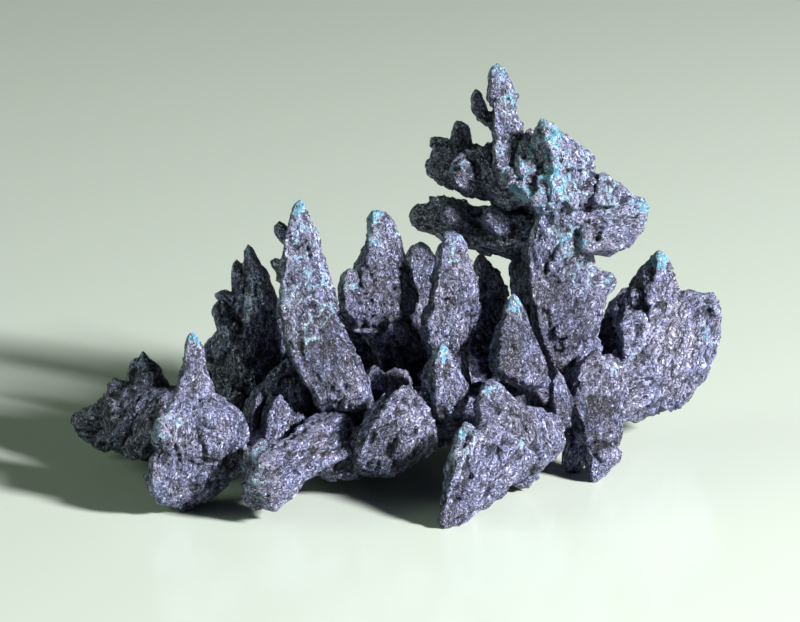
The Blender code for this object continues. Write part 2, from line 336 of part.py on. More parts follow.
TOWER = {
    "spire": [
        (9.75, 41.7, 7.0, 0, 0), (9.75, 41.2, 7.0, 0.7, 0.7), (9.8, 40.0, 7.0, 1.0, 0.95),
        (10.05, 39.0, 7.0, 1.3, 1.2), (10.35, 38.4, 7.0, 1.6, 1.4), (10.25, 37.6, 6.9, 1.4, 1.4),
        (10.5, 36.2, 6.8, 1.6, 1.6), (10.7, 34.8, 6.6, 1.7, 1.9), (11.0, 33.0, 6.4, 1.9, 2.3),
        (11.4, 31.5, 6.2, 2.2, 2.6), (12.2, 30.0, 6.4, 2.5, 2.8), (14.0, 27.5, 7.0, 3.0, 3.2),
    ],
    "spire_nub": [
        (7.6, 39.2, 8.2, 0, 0), (7.7, 38.7, 8.2, 0.5, 0.5), (7.85, 37.8, 8.1, 0.85, 0.8),
        (8.0, 36.9, 8.0, 0.85, 0.8), (8.6, 36.1, 7.8, 0.75, 0.8), (9.6, 35.4, 7.4, 0.9, 0.9),
    ],
    "crown_spike": [
        (14.1, 36.3, 3.2, 0, 0), (14.5, 35.6, 3.2, 0.85, 0.8), (14.8, 34.7, 3.4, 1.45, 1.3),
        (15.2, 33.7, 3.8, 2.25, 1.9), (15.7, 32.5, 4.3, 3.1, 2.5), (15.9, 31.3, 4.8, 3.7, 3.0),
        (15.6, 30.0, 5.2, 4.3, 3.4), (15.7, 28.5, 5.6, 4.4, 3.7), (15.9, 27.2, 6.2, 4.0, 3.8),
        (16.2, 25.8, 6.8, 3.8, 3.8),
    ],
    "crown_web": [
        (13.0, 35.2, 6.0, 0, 0), (13.0, 34.4, 6.0, 0.8, 0.9), (13.3, 32.6, 6.2, 1.7, 1.8),
        (13.7, 30.0, 6.8, 2.6, 2.8),
    ],
    "crown_shelf": [
        (10.1, 31.1, 4.6, 0, 0), (10.8, 30.7, 4.4, 1.1, 1.1), (12.0, 30.0, 4.2, 1.9, 1.7),
        (13.6, 29.2, 4.2, 2.5, 2.0), (15.6, 28.7, 4.4, 2.9, 2.2), (17.8, 28.9, 5.0, 2.7, 2.4),
        (19.3, 29.2, 5.8, 1.8, 1.8),
    ],
    "crown_face": [
        (12.6, 34.6, 5.6, 0, 0), (12.8, 33.8, 5.2, 1.0, 0.9), (13.0, 32.4, 4.8, 1.8, 1.5),
        (13.4, 31.0, 4.4, 2.4, 1.9), (13.8, 29.4, 4.4, 2.6, 2.1), (14.2, 27.6, 5.0, 2.4, 2.2),
    ],
    "right_arm": [
        (24.9, 27.3, 4.4, 0, 0), (24.5, 27.2, 4.5, 0.9, 0.9), (24.0, 27.0, 4.7, 1.6, 1.4),
        (23.0, 26.65, 5.0, 2.6, 2.0), (22.0, 26.35, 5.3, 3.4, 2.5), (21.0, 26.5, 5.6, 3.9, 2.9),
        (20.0, 26.7, 6.0, 4.1, 3.3), (18.0, 26.6, 6.6, 4.0, 3.7),
    ],
    "right_arm_point": [
        (20.1, 30.9, 5.0, 0, 0), (20.3, 30.3, 5.0, 0.7, 0.8), (20.7, 29.0, 5.2, 1.5, 1.5),
        (20.7, 27.5, 5.4, 2.2, 2.4),
    ],
    "column_bump": [
        (21.8, 19.8, 7.4, 0, 0), (21.3, 19.9, 7.4, 0.9, 0.9), (20.2, 19.8, 7.3, 1.6, 1.6),
        (18.4, 19.6, 7.2, 2.2, 2.2), (16.5, 19.2, 7.0, 2.6, 2.8),
    ],
    "upper_left_arm": [
        (2.3, 31.6, 12.4, 0, 0), (2.8, 31.6, 12.2, 1.0, 1.0), (3.8, 31.6, 11.6, 1.8, 1.6),
        (5.2, 31.5, 10.8, 2.3, 2.1), (7.0, 31.1, 9.8, 2.6, 2.4), (9.0, 30.6, 8.6, 2.8, 2.6),
        (11.5, 29.6, 7.4, 3.0, 3.0),
    ],
    "upper_left_knob": [
        (5.9, 35.9, 10.6, 0, 0), (6.1, 35.4, 10.6, 0.75, 0.8), (6.2, 34.2, 10.5, 0.95, 1.1),
        (6.3, 32.8, 10.4, 1.2, 1.5), (6.3, 31.4, 10.2, 1.6, 1.9),
    ],
    "upper_left_point": [
        (2.9, 34.4, 12.0, 0, 0), (3.2, 34.0, 12.0, 0.6, 0.6), (4.2, 33.4, 11.6, 1.1, 1.1),
        (5.2, 32.6, 11.0, 1.5, 1.6),
    ],
    "lower_left_arm": [
        (0.8, 26.7, 14.0, 0, 0), (1.5, 26.65, 13.7, 1.0, 1.0), (2.5, 26.45, 13.0, 1.6, 1.5),
        (3.7, 26.35, 12.2, 2.0, 1.8), (5.0, 26.0, 11.2, 2.3, 2.0), (7.0, 25.4, 9.6, 2.0, 2.2),
        (9.0, 25.1, 8.4, 2.2, 2.5), (11.0, 24.9, 7.6, 2.4, 2.8), (14.0, 24.6, 7.2, 2.8, 3.2),
    ],
    "lower_left_knob": [
        (5.2, 28.3, 8.8, 0, 0), (5.2, 27.8, 8.4, 0.8, 0.8), (5.3, 26.8, 7.9, 1.3, 1.2),
        (5.6, 25.8, 8.0, 1.3, 1.3), (6.4, 25.0, 8.8, 1.0, 1.2),
    ],
    "lower_left_lump": [
        (9.0, 27.6, 6.4, 0, 0), (9.2, 27.0, 6.0, 0.9, 0.9), (9.6, 26.0, 5.8, 1.4, 1.3),
        (10.2, 24.9, 6.0, 1.5, 1.4), (11.0, 23.9, 6.6, 1.1, 1.2),
    ],
    "upper_left_lump": [
        (5.6, 32.6, 6.8, 0, 0), (5.7, 32.0, 6.4, 1.0, 0.9), (6.0, 31.0, 6.0, 1.6, 1.4),
        (6.6, 30.1, 6.2, 1.6, 1.5), (7.6, 29.4, 7.2, 1.3, 1.4), (8.8, 29.2, 8.2, 1.2, 1.4),
    ],
    "upper_left_ridge": [
        (8.8, 34.0, 7.4, 0, 0), (8.7, 33.2, 7.2, 0.8, 0.8), (8.6, 31.8, 7.0, 1.3, 1.3),
        (8.9, 30.2, 7.0, 1.6, 1.6), (10.0, 28.8, 7.0, 1.4, 1.6),
    ],
}

BACK = {
    "back_foot_left": [
        (-9.0, 3.4, 10.4, 0, 0), (-9.0, 4.3, 9.8, 1.5, 1.5), (-9.0, 5.6, 7.6, 2.4, 2.4),
        (-9.0, 7.2, 4.0, 3.2, 3.0),
    ],
    "back_foot_right": [
        (13.2, 4.4, 13.4, 0, 0), (13.2, 5.2, 12.6, 1.5, 1.5), (13.4, 6.6, 9.6, 2.4, 2.4),
        (14.0, 8.2, 6.0, 3.0, 3.0),
    ],
    "back_spike_far_left": [
        (-20.5, 8.8, 10.8, 0, 0), (-20.4, 8.4, 9.6, 1.1, 1.2), (-20.0, 7.6, 7.0, 2.0, 2.0),
        (-19.4, 6.8, 3.0, 2.8, 3.0),
    ],
    "back_spike_left": [
        (-13.4, 15.0, 12.4, 0, 0), (-13.5, 14.0, 11.2, 1.2, 1.2), (-13.6, 12.0, 8.4, 2.2, 2.2),
        (-13.6, 9.0, 4.0, 3.2, 3.2),
    ],
    "back_spike_middle": [
        (-5.6, 14.2, 12.0, 0, 0), (-5.5, 13.2, 11.0, 1.2, 1.2), (-5.2, 11.6, 8.6, 2.2, 2.2),
        (-4.8, 9.0, 4.6, 3.0, 3.0),
    ],
    "back_spike_right": [
        (4.4, 16.4, 14.4, 0, 0), (4.4, 15.4, 13.2, 1.2, 1.2), (4.2, 13.2, 10.2, 2.2, 2.2),
        (4.0, 10.0, 5.6, 3.0, 3.0),
    ],
    "back_tooth_low": [
        (1.6, 7.4, 13.0, 0, 0), (1.6, 7.4, 11.6, 1.3, 1.3), (1.5, 7.8, 8.8, 2.2, 2.2),
        (1.4, 8.2, 5.0, 2.8, 2.8),
    ],
    "back_spike_column": [
        (18.4, 16.2, 15.0, 0, 0), (18.2, 15.4, 13.8, 1.2, 1.2), (17.6, 13.4, 10.8, 2.2, 2.2),
        (17.0, 10.4, 6.6, 3.0, 3.0),
    ],
    "back_bulge_left": [
        (-20.4, 7.4, 6.0, 1.8, 1.8), (-16.4, 8.6, 7.4, 3.0, 2.8), (-12.0, 8.8, 7.6, 2.8, 2.6),
        (-8.2, 8.2, 6.4, 2.0, 2.2),
    ],
    "back_bulge_middle": [
        (-4.4, 9.0, 6.8, 1.8, 2.0), (-0.4, 10.2, 8.4, 2.8, 2.8), (4.0, 10.4, 9.2, 2.8, 2.6),
        (8.4, 9.8, 9.0, 2.0, 2.0),
    ],
    "back_spike_tall": [
        (-9.4, 20.0, 7.4, 0, 0), (-9.3, 18.8, 7.0, 0.9, 0.9), (-9.2, 16.0, 6.0, 1.8, 1.8),
        (-9.5, 12.0, 4.6, 2.6, 2.6),
    ],
    "back_spike_rounded": [
        (-1.8, 22.0, 10.4, 0, 0), (-1.8, 20.6, 9.8, 1.0, 1.0), (-1.9, 18.0, 8.4, 1.9, 1.9),
        (-2.0, 14.0, 6.4, 2.6, 2.6),
    ],
    "column_back_tooth": [
        (16.6, 20.2, 13.6, 0, 0), (16.5, 19.6, 12.4, 1.2, 1.2), (16.3, 18.4, 10.0, 2.2, 2.0),
    ],
    "lobe_back_tooth": [
        (27.0, 16.4, 18.2, 0, 0), (26.8, 15.9, 17.0, 1.1, 1.0), (26.5, 15.0, 15.0, 2.2, 1.6),
    ],
    "under_tooth_left": [
        (-14.0, 2.8, 4.0, 0, 0), (-14.0, 3.6, 4.0, 1.2, 1.2), (-14.0, 5.4, 3.6, 2.2, 2.2),
    ],
    "under_tooth_middle": [
        (-0.4, 3.4, 3.6, 0, 0), (-0.4, 4.2, 3.6, 1.2, 1.2), (-0.4, 6.0, 3.2, 2.2, 2.2),
    ],
    "tower_back_spike": [
        (16.8, 31.4, 14.6, 0, 0), (16.6, 30.6, 13.6, 1.0, 1.0), (16.2, 29.0, 11.2, 2.0, 2.0),
        (15.8, 27.0, 8.0, 2.8, 2.8),
    ],
    "tower_back_tooth": [
        (12.4, 27.4, 13.4, 0, 0), (12.6, 27.0, 12.4, 1.0, 1.0), (13.2, 26.4, 10.2, 1.8, 1.8),
        (14.2, 25.4, 7.6, 2.4, 2.4),
    ],
}

SURFACE = {"color": (0.22, 0.21, 0.25, 1.0), "roughness": 0.42, "metallic": 0.7}


def placed(across, up, depth):
    """The point at this depth on the sight line that passes (across, up), in millimetres."""
    level, slope = math.cos(VIEW_PITCH), math.sin(VIEW_PITCH)
    eye = np.array([0.0, -VIEW_DISTANCE * level, VIEW_HEIGHT + VIEW_DISTANCE * slope])
    rise = up - VIEW_HEIGHT * level
    through = np.array([across, rise * slope, VIEW_HEIGHT + rise * level])
    return eye + (through - eye) * (depth - eye[1]) / (through[1] - eye[1])


def reaching(offsets, extent):
    """The offsets, stretched on each side to just reach the extent."""
    return extent * np.where(offsets > 0, offsets / offsets.max(), -offsets / offsets.min())


def heading(rows):
    """The direction from the first station to the last, straight up or down if the crystal is steep."""
    run, rise = rows[-1, :2] - rows[0, :2]
    run = 0.0 if abs(run) < STEEP * abs(rise) else run
    return np.array([run, rise]) / np.hypot(run, rise)


def crystal_mesh(name, stations, dice):
    """A closed crystal: its outline across its heading at each station, a point or a flat at each end."""
    rows = np.array(stations, float)
    run, rise = heading(rows)
    corners = np.array(OUTLINES[OUTLINE_OF.get(name, "usual")])
    corners += dice.uniform(-1, 1, corners.shape) * OUTLINE_SPREAD
    if run < rise:
        corners[:, 0] *= -1
    sides = len(corners)
    mesh = bmesh.new()
    rings = []
    for across, up, depth, half_width, half_thickness in rows:
        if half_width == 0:
            rings.append([mesh.verts.new(placed(across, up, depth) * MM)])
            continue
        reach = corners * (1 + dice.uniform(-1, 1, (sides, 1)) * STATION_SPREAD)
        side = reaching(reach[:, 0], half_width)
        back = reaching(reach[:, 1], half_thickness)
        rings.append(
            [
                mesh.verts.new(placed(across - rise * s, up + run * s, depth + b) * MM)
                for s, b in zip(side, back)
            ]
        )
    for ring, following in zip(rings, rings[1:]):
        for i in range(sides):
            edges = [ring[i % len(ring)], ring[(i + 1) % len(ring)]]
            edges += [following[(i + 1) % len(following)], following[i % len(following)]]
            mesh.faces.new(dict.fromkeys(edges))
    for ring in (rings[0], rings[-1]):
        if len(ring) > 1:
            mesh.faces.new(ring)
    bmesh.ops.triangulate(mesh, faces=mesh.faces)
    bmesh.ops.recalc_face_normals(mesh, faces=mesh.faces)
    data = bpy.data.meshes.new(name)
    mesh.to_mesh(data)
    mesh.free()
    return data


def crystal_object(name, data):
    crystal = bpy.data.objects.new(name, data)
    bpy.context.scene.collection.objects.link(crystal)
    crystal.hide_render = True
    crystal.display_type = "WIRE"
    return crystal


def combined(base, other, operation):
    """The base's mesh joined with the other or cut by it."""
    modifier = base.modifiers.new(operation, "BOOLEAN")
    modifier.operation = operation
    modifier.solver = "EXACT"
    modifier.object = other
    graph = bpy.context.evaluated_depsgraph_get()
    data = bpy.data.meshes.new_from_object(base.evaluated_get(graph))
    base.modifiers.clear()
    mesh = bmesh.new()
    mesh.from_mesh(data)
    bmesh.ops.remove_doubles(mesh, verts=mesh.verts, dist=MERGE * MM)
    bmesh.ops.dissolve_degenerate(mesh, edges=mesh.edges, dist=MERGE * MM)
    mesh.to_mesh(data)
    mesh.free()
    base.data = data


def bounds(data):
    corners = np.array([vertex.co for vertex in data.vertices])
    return corners.min(axis=0), corners.max(axis=0)


def trim_feet(cluster):
    """Cuts the lowest points level, for the cluster to stand on."""
    low, high = bounds(cluster.data)
    size = 2 * (high - low)
    mesh = bmesh.new()
    bmesh.ops.create_cube(mesh, size=1)
    bmesh.ops.scale(mesh, vec=Vector(size), verts=mesh.verts)
    middle = (low + high) / 2
    drop = low[2] + FOOT_TRIM * MM - size[2] / 2
    bmesh.ops.translate(mesh, vec=Vector((middle[0], middle[1], drop)), verts=mesh.verts)
    data = bpy.data.meshes.new("floor_cutter")
    mesh.to_mesh(data)
    mesh.free()
    cutter = crystal_object("floor_cutter", data)
    combined(cluster, cutter, "DIFFERENCE")
    bpy.data.objects.remove(cutter)


def fill_hollows(cluster):
    """Fills the small sealed hollows between crystals: of the shells, only the largest stays."""
    mesh = bmesh.new()
    mesh.from_mesh(cluster.data)
    free = set(mesh.verts)
    shells = []
    while free:
        shell = [free.pop()]
        for vertex in shell:
            neighbours = {edge.other_vert(vertex) for edge in vertex.link_edges} & free
            free -= neighbours
            shell.extend(neighbours)
        shells.append(shell)
    shells.sort(key=len)
    inner = [vertex for shell in shells[:-1] for vertex in shell]
    bmesh.ops.delete(mesh, geom=inner, context="VERTS")
    mesh.to_mesh(cluster.data)
    mesh.free()


def surface_material():
    material = bpy.data.materials.new("acanthite")
    material.use_nodes = True
    shader = material.node_tree.nodes["Principled BSDF"]
    shader.inputs["Base Color"].default_value = SURFACE["color"]
    shader.inputs["Roughness"].default_value = SURFACE["roughness"]
    shader.inputs["Metallic"].default_value = SURFACE["metallic"]
    return material


def main():
    for obj in list(bpy.data.objects):
        bpy.data.objects.remove(obj)
    groups = (RIDGE, LEFT_WING, LEFT_FRONT, MIDDLE, RIGHT_FRONT, RIGHT_LOBE, TOWER, BACK)
    crystals = {name: stations for group in groups for name, stations in group.items()}
    cluster = None
    for seed, (name, stations) in enumerate(crystals.items()):
        crystal = crystal_object(name, crystal_mesh(name, stations, np.random.default_rng(seed)))
        if cluster is None:
            cluster = crystal
            continue
        combined(cluster, crystal, "UNION")
        bpy.data.objects.remove(crystal)
    trim_feet(cluster)
    fill_hollows(cluster)
    low, high = bounds(cluster.data)
    middle = (low + high) / 2
    cluster.data.transform(Matrix.Translation((-middle[0], -middle[1], -low[2])))
    print("moved by, in mm:", -middle[0] / MM, -middle[1] / MM, -low[2] / MM)
    cluster.name = "acanthite_cluster"
    cluster.data.name = "acanthite_cluster"
    cluster.data.materials.clear()
    cluster.data.materials.append(surface_material())
    cluster.hide_render = False
    cluster.display_type = "TEXTURED"


main()
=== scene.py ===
import math

import bpy
import numpy as np
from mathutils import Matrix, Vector


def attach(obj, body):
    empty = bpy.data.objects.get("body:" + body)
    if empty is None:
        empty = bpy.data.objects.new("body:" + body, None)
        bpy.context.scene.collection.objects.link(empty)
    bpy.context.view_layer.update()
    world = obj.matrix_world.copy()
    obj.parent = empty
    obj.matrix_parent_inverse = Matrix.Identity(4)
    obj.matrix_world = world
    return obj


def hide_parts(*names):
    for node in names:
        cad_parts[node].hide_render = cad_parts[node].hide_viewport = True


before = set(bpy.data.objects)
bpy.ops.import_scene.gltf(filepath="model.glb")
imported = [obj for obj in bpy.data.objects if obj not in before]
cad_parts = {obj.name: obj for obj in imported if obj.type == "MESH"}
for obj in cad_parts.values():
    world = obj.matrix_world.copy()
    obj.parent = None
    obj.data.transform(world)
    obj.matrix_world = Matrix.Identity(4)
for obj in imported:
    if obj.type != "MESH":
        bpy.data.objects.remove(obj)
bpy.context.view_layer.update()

mm = 0.001

# where the crystals' layout stands in the frame, and the viewpoint it is laid out from, in millimetres
layout = {
    "shift": (0.261, -1.75, -0.156),
    "distance": 450.0,
    "pitch": math.radians(18.0),
    "height": 17.8,
}
level, slope = math.cos(layout["pitch"]), math.sin(layout["pitch"])
target = np.array([0.0, 0.0, layout["height"]]) + np.array(layout["shift"])
view = {"lens": 202.5, "sensor": 36.0, "nearest": 0.02}


def inScene(name, data):
    # a new object that holds this data, linked to the scene
    thing = bpy.data.objects.new(name, data)
    bpy.context.scene.collection.objects.link(thing)
    return thing


def viewCamera():
    # stands at the viewpoint of the layout: target + distance * (0, -cos pitch, sin pitch)
    data = bpy.data.cameras.new("view")
    data.lens = view["lens"]
    data.sensor_width = view["sensor"]
    data.clip_start = view["nearest"]
    camera = inScene("view", data)
    back = Vector((0.0, -level, slope))
    camera.location = Vector(target * mm) + back * layout["distance"] * mm
    camera.rotation_euler = back.to_track_quat("Z", "Y").to_euler()
    bpy.context.scene.camera = camera


# directions are (degrees to the right of the viewer, degrees up), sizes and distances in metres
lamps = {
    "key": {"from": (61, 27), "distance": 0.6, "size": 0.085, "power": 15.0, "color": (1.0, 0.985, 0.96)},
    "fill": {"from": (-86, 25), "distance": 1.2, "size": 0.7, "power": 7.5, "color": (0.80, 1.0, 0.72)},
}
air = {"color": (0.80, 0.90, 0.84), "strength": 0.04}


def studioLamp(name, lamp):
    # a square soft box aimed at the middle of the cluster
    data = bpy.data.lights.new(name, "AREA")
    data.size = lamp["size"]
    data.energy = lamp["power"]
    data.color = lamp["color"]
    side, up = map(math.radians, lamp["from"])
    away = Vector((math.sin(side) * math.cos(up), -math.cos(side) * math.cos(up), math.sin(up)))
    light = inScene(name, data)
    light.location = Vector(target * mm) + away * lamp["distance"]
    light.rotation_euler = away.to_track_quat("Z", "Y").to_euler()


def studioAir():
    # an even dim glow from all around
    world = bpy.data.worlds.new("air")
    world.use_nodes = True
    background = world.node_tree.nodes["Background"]
    background.inputs["Color"].default_value = (*air["color"], 1)
    background.inputs["Strength"].default_value = air["strength"]
    bpy.context.scene.world = world


floorLook = {"half": 3.0, "color": (0.42, 0.47, 0.43, 1), "roughness": 0.16}


def paleFloor():
    # a square at height 0
    half = floorLook["half"]
    mesh = bpy.data.meshes.new("floor")
    corners = [(-half, -half, 0), (half, -half, 0), (half, half, 0), (-half, half, 0)]
    mesh.from_pydata(corners, [], [(0, 1, 2, 3)])
    floor = inScene("floor", mesh)
    material = bpy.data.materials.new("pale_floor")
    material.use_nodes = True
    shader = material.node_tree.nodes["Principled BSDF"]
    shader.inputs["Base Color"].default_value = floorLook["color"]
    shader.inputs["Roughness"].default_value = floorLook["roughness"]
    mesh.materials.append(material)


viewCamera()
for lampName, lamp in lamps.items():
    studioLamp(lampName, lamp)
studioAir()
paleFloor()
bpy.context.scene.view_settings.view_transform = "Standard"
print("view, lamps and floor set")


def placed(stations):
    # each (across, up, depth) goes along its sight line until it is at its depth: eye + (point on the
    # upright view plane - eye) * (depth - eye's depth) / (plane point's depth - eye's depth)
    across, up, depth = np.moveaxis(np.asarray(stations, float), -1, 0)
    eye = np.array([0.0, -layout["distance"] * level, layout["height"] + layout["distance"] * slope])
    rise = up - layout["height"] * level
    through = np.stack([across, rise * slope, layout["height"] + rise * level], axis=-1)
    share = (depth - eye[1]) / (through[..., 1] - eye[1])
    return eye + (through - eye) * share[..., None] + np.array(layout["shift"])


def reaching(offsets, extent):
    # the offsets, stretched on each side to just reach the extent
    return extent * np.where(offsets > 0, offsets / offsets.max(), -offsets / offsets.min())


# a crystal's outline, seen from its tip: (to the side that faces the light, to the back), each from -1 to 1
outlines = {
    "usual": ((1, 0.1), (0.55, -0.72), (-0.62, -1), (-1, 0.15)),
    "flat": ((1, 0.1), (0.6, -0.8), (-0.86, -0.96), (-1, 0.15)),
    "ridged": ((1, 0.05), (0.62, -0.66), (-0.1, -1), (-1, 0.4)),
    "sided": ((1, 0.1), (0.55, -0.75), (-0.5, -1), (-1, 0.3)),
    "turned": ((1, 0.1), (0.85, -0.5), (0.32, -1), (-1, 0.45)),
    "slanted": ((1, 0.35), (0.85, -0.2), (-0.86, -1), (-1, 0.15)),
}
backCorners = ((-0.5, 0.9), (0.55, 1))    # on every outline
outlineOf = {
    "flat": ("leftCrystal", "tallSpike", "fin", "finLobe"),
    "ridged": ("lobeSpike", "crownSpike", "wingSpike", "backLeft"),
    "sided": ("column", "roundedSpikeShoulder", "frontSpike", "cornerCrystal"),
    "turned": ("wing", "outerPlate", "innerPlate", "finOuter"),
    "slanted": ("rightBlock", "frontArm", "lobe", "rightArm", "leftCrystalFoot"),
}
steep = 0.7    # a crystal that runs sideways less than this share of its rise keeps its sections level
unevenness = {"outline": 0.07, "station": 0.05}    # how far corners stray, as a share of the half width


def stationRows(stations):
    # the stations filled in: a tip has only its place, and a thickness that is left out equals the width
    filled = [(*station, 0, 0) if len(station) == 3 else (*station, station[3])[:5] for station in stations]
    return np.array(filled, float)


def crystalCage(rows, outline, seed):
    # the outline set across the line from the first station to the last, level if that is steep,
    # with each corner strayed by its own random share: (stations, corners, 3)
    dice = np.random.default_rng(seed)
    run, rise = rows[-1, :2] - rows[0, :2]
    run = 0.0 if abs(run) < steep * abs(rise) else run
    run, rise = np.array([run, rise]) / np.hypot(run, rise)
    corners = np.array(outline) + dice.uniform(-1, 1, (len(outline), 2)) * unevenness["outline"]
    if run < rise:
        corners[:, 0] *= -1
    cage = []
    for across, up, depth, halfWidth, halfThickness in rows:
        if halfWidth == 0:
            cage.append(np.repeat([[across, up, depth]], len(corners), axis=0))
            continue
        reach = corners * (1 + dice.uniform(-1, 1, (len(corners), 1)) * unevenness["station"])
        side = reaching(reach[:, 0], halfWidth)
        back = reaching(reach[:, 1], halfThickness)
        cage.append(np.stack([across - rise * side, up + run * side, depth + back], axis=-1))
    return placed(np.array(cage))


def tubeFaces(rows, around, start):
    # quads between neighbouring rows, and a fan of triangles to a point at each end
    lower = np.arange(rows - 1)[:, None] * around
    here = np.arange(around)[None, :]
    onward = (here + 1) % around
    quads = np.stack([lower + here, lower + onward, lower + around + onward, lower + around + here], axis=-1)
    first, last = rows * around, rows * around + 1
    top = (rows - 1) * around
    fans = [np.stack([np.full(around, first), onward[0], here[0]], axis=-1),
            np.stack([np.full(around, last), top + here[0], top + onward[0]], axis=-1)]
    return (quads.reshape(-1, 4) + start).tolist() + (np.concatenate(fans) + start).tolist()


def crystalMesh(name, crystals):
    # every crystal of the group as its own closed shell, in one mesh; a point closes each end
    points, faces, start = [], [], 0
    for key, rows in crystals.items():
        shape = next((shape for shape, keys in outlineOf.items() if key in keys), "usual")
        cage = crystalCage(rows, outlines[shape] + backCorners, seeds[key])
        ends = [cage[0].mean(axis=0), cage[-1].mean(axis=0)]
        whole = cage[rows[:, 3] > 0]
        points.append(np.concatenate([whole.reshape(-1, 3), ends]))
        faces += tubeFaces(len(whole), whole.shape[1], start)
        start += len(points[-1])
    mesh = bpy.data.meshes.new(name)
    mesh.from_pydata((np.concatenate(points) * mm).tolist(), [], faces)
    return mesh


def grownTogether(name, mesh, voxel):
    # the shells joined into one skin, on a grid of cubes of this size
    piece = inScene(name, mesh)
    join = piece.modifiers.new("join", "REMESH")
    join.mode = "VOXEL"
    join.voxel_size = voxel * mm
    graph = bpy.context.evaluated_depsgraph_get()
    joined = bpy.data.meshes.new_from_object(piece.evaluated_get(graph))
    piece.modifiers.clear()
    piece.data = joined
    return piece


def meshArrays(mesh):
    # the points in millimetres, and the four corners of each face
    points = np.empty(len(mesh.vertices) * 3, np.float32)
    mesh.vertices.foreach_get("co", points)
    corners = np.empty(len(mesh.loops), np.int32)
    mesh.loops.foreach_get("vertex_index", corners)
    return points.reshape(-1, 3).astype(float) / mm, corners.reshape(-1, 4)


def unitLength(vectors):
    # each vector divided by its length, where it has any
    return vectors / np.maximum(np.linalg.norm(vectors, axis=1, keepdims=True), 1e-9)


def vertexNormals(points, quads):
    # each face's normal from its diagonals, summed at its corners
    across = points[quads[:, 2]] - points[quads[:, 0]]
    up = points[quads[:, 3]] - points[quads[:, 1]]
    normals = np.cross(across, up)
    total = [np.bincount(quads.ravel(), np.repeat(normals[:, i], 4), len(points)) for i in range(3)]
    return unitLength(np.stack(total, axis=-1))


def eased(values, quads, passes, share=0.5):
    # each point moved part of the way to the mean of its neighbours along the edges
    ends = np.concatenate([quads[:, [0, 1]], quads[:, [1, 2]], quads[:, [2, 3]], quads[:, [3, 0]]])
    count = np.bincount(ends[:, 0], minlength=len(values)) + np.bincount(ends[:, 1], minlength=len(values))
    for _ in range(passes):
        total = np.stack([
            np.bincount(ends[:, 0], values[ends[:, 1], i], len(values))
            + np.bincount(ends[:, 1], values[ends[:, 0], i], len(values))
            for i in range(values.shape[1])
        ], axis=-1)
        values = values + share * (total / count[:, None] - values)
    return values


# large whole numbers that mix a cell's bits, and the highest number kept of them
mixers = {
    "across": 374761393, "up": 668265263, "deep": 2147483647, "seed": 974634777,
    "early": 1274126177, "late": 2246822519, "kept": 16777215,
}


def scrambled(cells, seed):
    # a steady random number from 0 to 1 for each whole-numbered cell, by multiplying and mixing its bits
    mixed = cells[..., 0].astype(np.uint32) * np.uint32(mixers["across"])
    mixed ^= cells[..., 1].astype(np.uint32) * np.uint32(mixers["up"])
    mixed ^= cells[..., 2].astype(np.uint32) * np.uint32(mixers["deep"])
    mixed ^= np.uint32(seed * mixers["seed"] % 2**32)
    mixed = (mixed ^ (mixed >> np.uint32(13))) * np.uint32(mixers["early"])
    mixed = (mixed ^ (mixed >> np.uint32(16))) * np.uint32(mixers["late"])
    return ((mixed ^ (mixed >> np.uint32(15))) & np.uint32(mixers["kept"])) / float(mixers["kept"])


def smoothStep(part):
    # part^2 (3 - 2 part)
    return part * part * (3 - 2 * part)


def cloud(points, size, seed):
    # smooth noise from -1 to 1: random numbers on a lattice of this size, blended by a smooth step
    scaled = points / size
    base = np.floor(scaled)
    part = smoothStep(scaled - base)
    base = base.astype(np.int64)
    total = np.zeros(len(points))
    for corner in np.ndindex(2, 2, 2):
        weight = np.prod(np.where(np.array(corner) == 1, part, 1 - part), axis=1)
        total += weight * scrambled(base + np.array(corner), seed)
    return total * 2 - 1


def clouds(points, size, seed, octaves=3):
    # that noise at this size and again at each half size, half as strong
    total = sum(cloud(points, size / 2**k, seed + k) / 2**k for k in range(octaves))
    return total / (2 - 2.0 ** (1 - octaves))


def grains(points, size, seed):
    # the nearest and second nearest of one random point in each lattice cell of this size:
    # their distances, the way from the nearest one, and that one's own random numbers
    scaled = points / size
    base = np.floor(scaled).astype(np.int64)
    nearest = np.full(len(points), np.inf)
    second = np.full(len(points), np.inf)
    way = np.zeros_like(points)
    cell = np.zeros_like(base)
    for step in np.ndindex(3, 3, 3):
        there = base + np.array(step) - 1
        spot = there + np.stack([scrambled(there, seed + k) for k in range(3)], axis=-1)
        offset = scaled - spot
        gap = np.sqrt((offset**2).sum(axis=1))
        closer = gap < nearest
        second = np.where(closer, nearest, np.minimum(second, gap))
        nearest = np.where(closer, gap, nearest)
        way[closer] = offset[closer]
        cell[closer] = there[closer]
    luck = np.stack([scrambled(cell, seed + 10 + k) for k in range(4)], axis=-1)
    return nearest, second, way, luck


def chipped(points, size, seed, tilt, step):
    # broken facets: each grain is a flat chip, tilted and raised by its own random numbers
    _, _, way, luck = grains(points, size, seed)
    lean = (luck[:, :3] * 2 - 1) * tilt
    height = (way * lean).sum(axis=1) + (luck[:, 3] * 2 - 1) * step
    return height * size


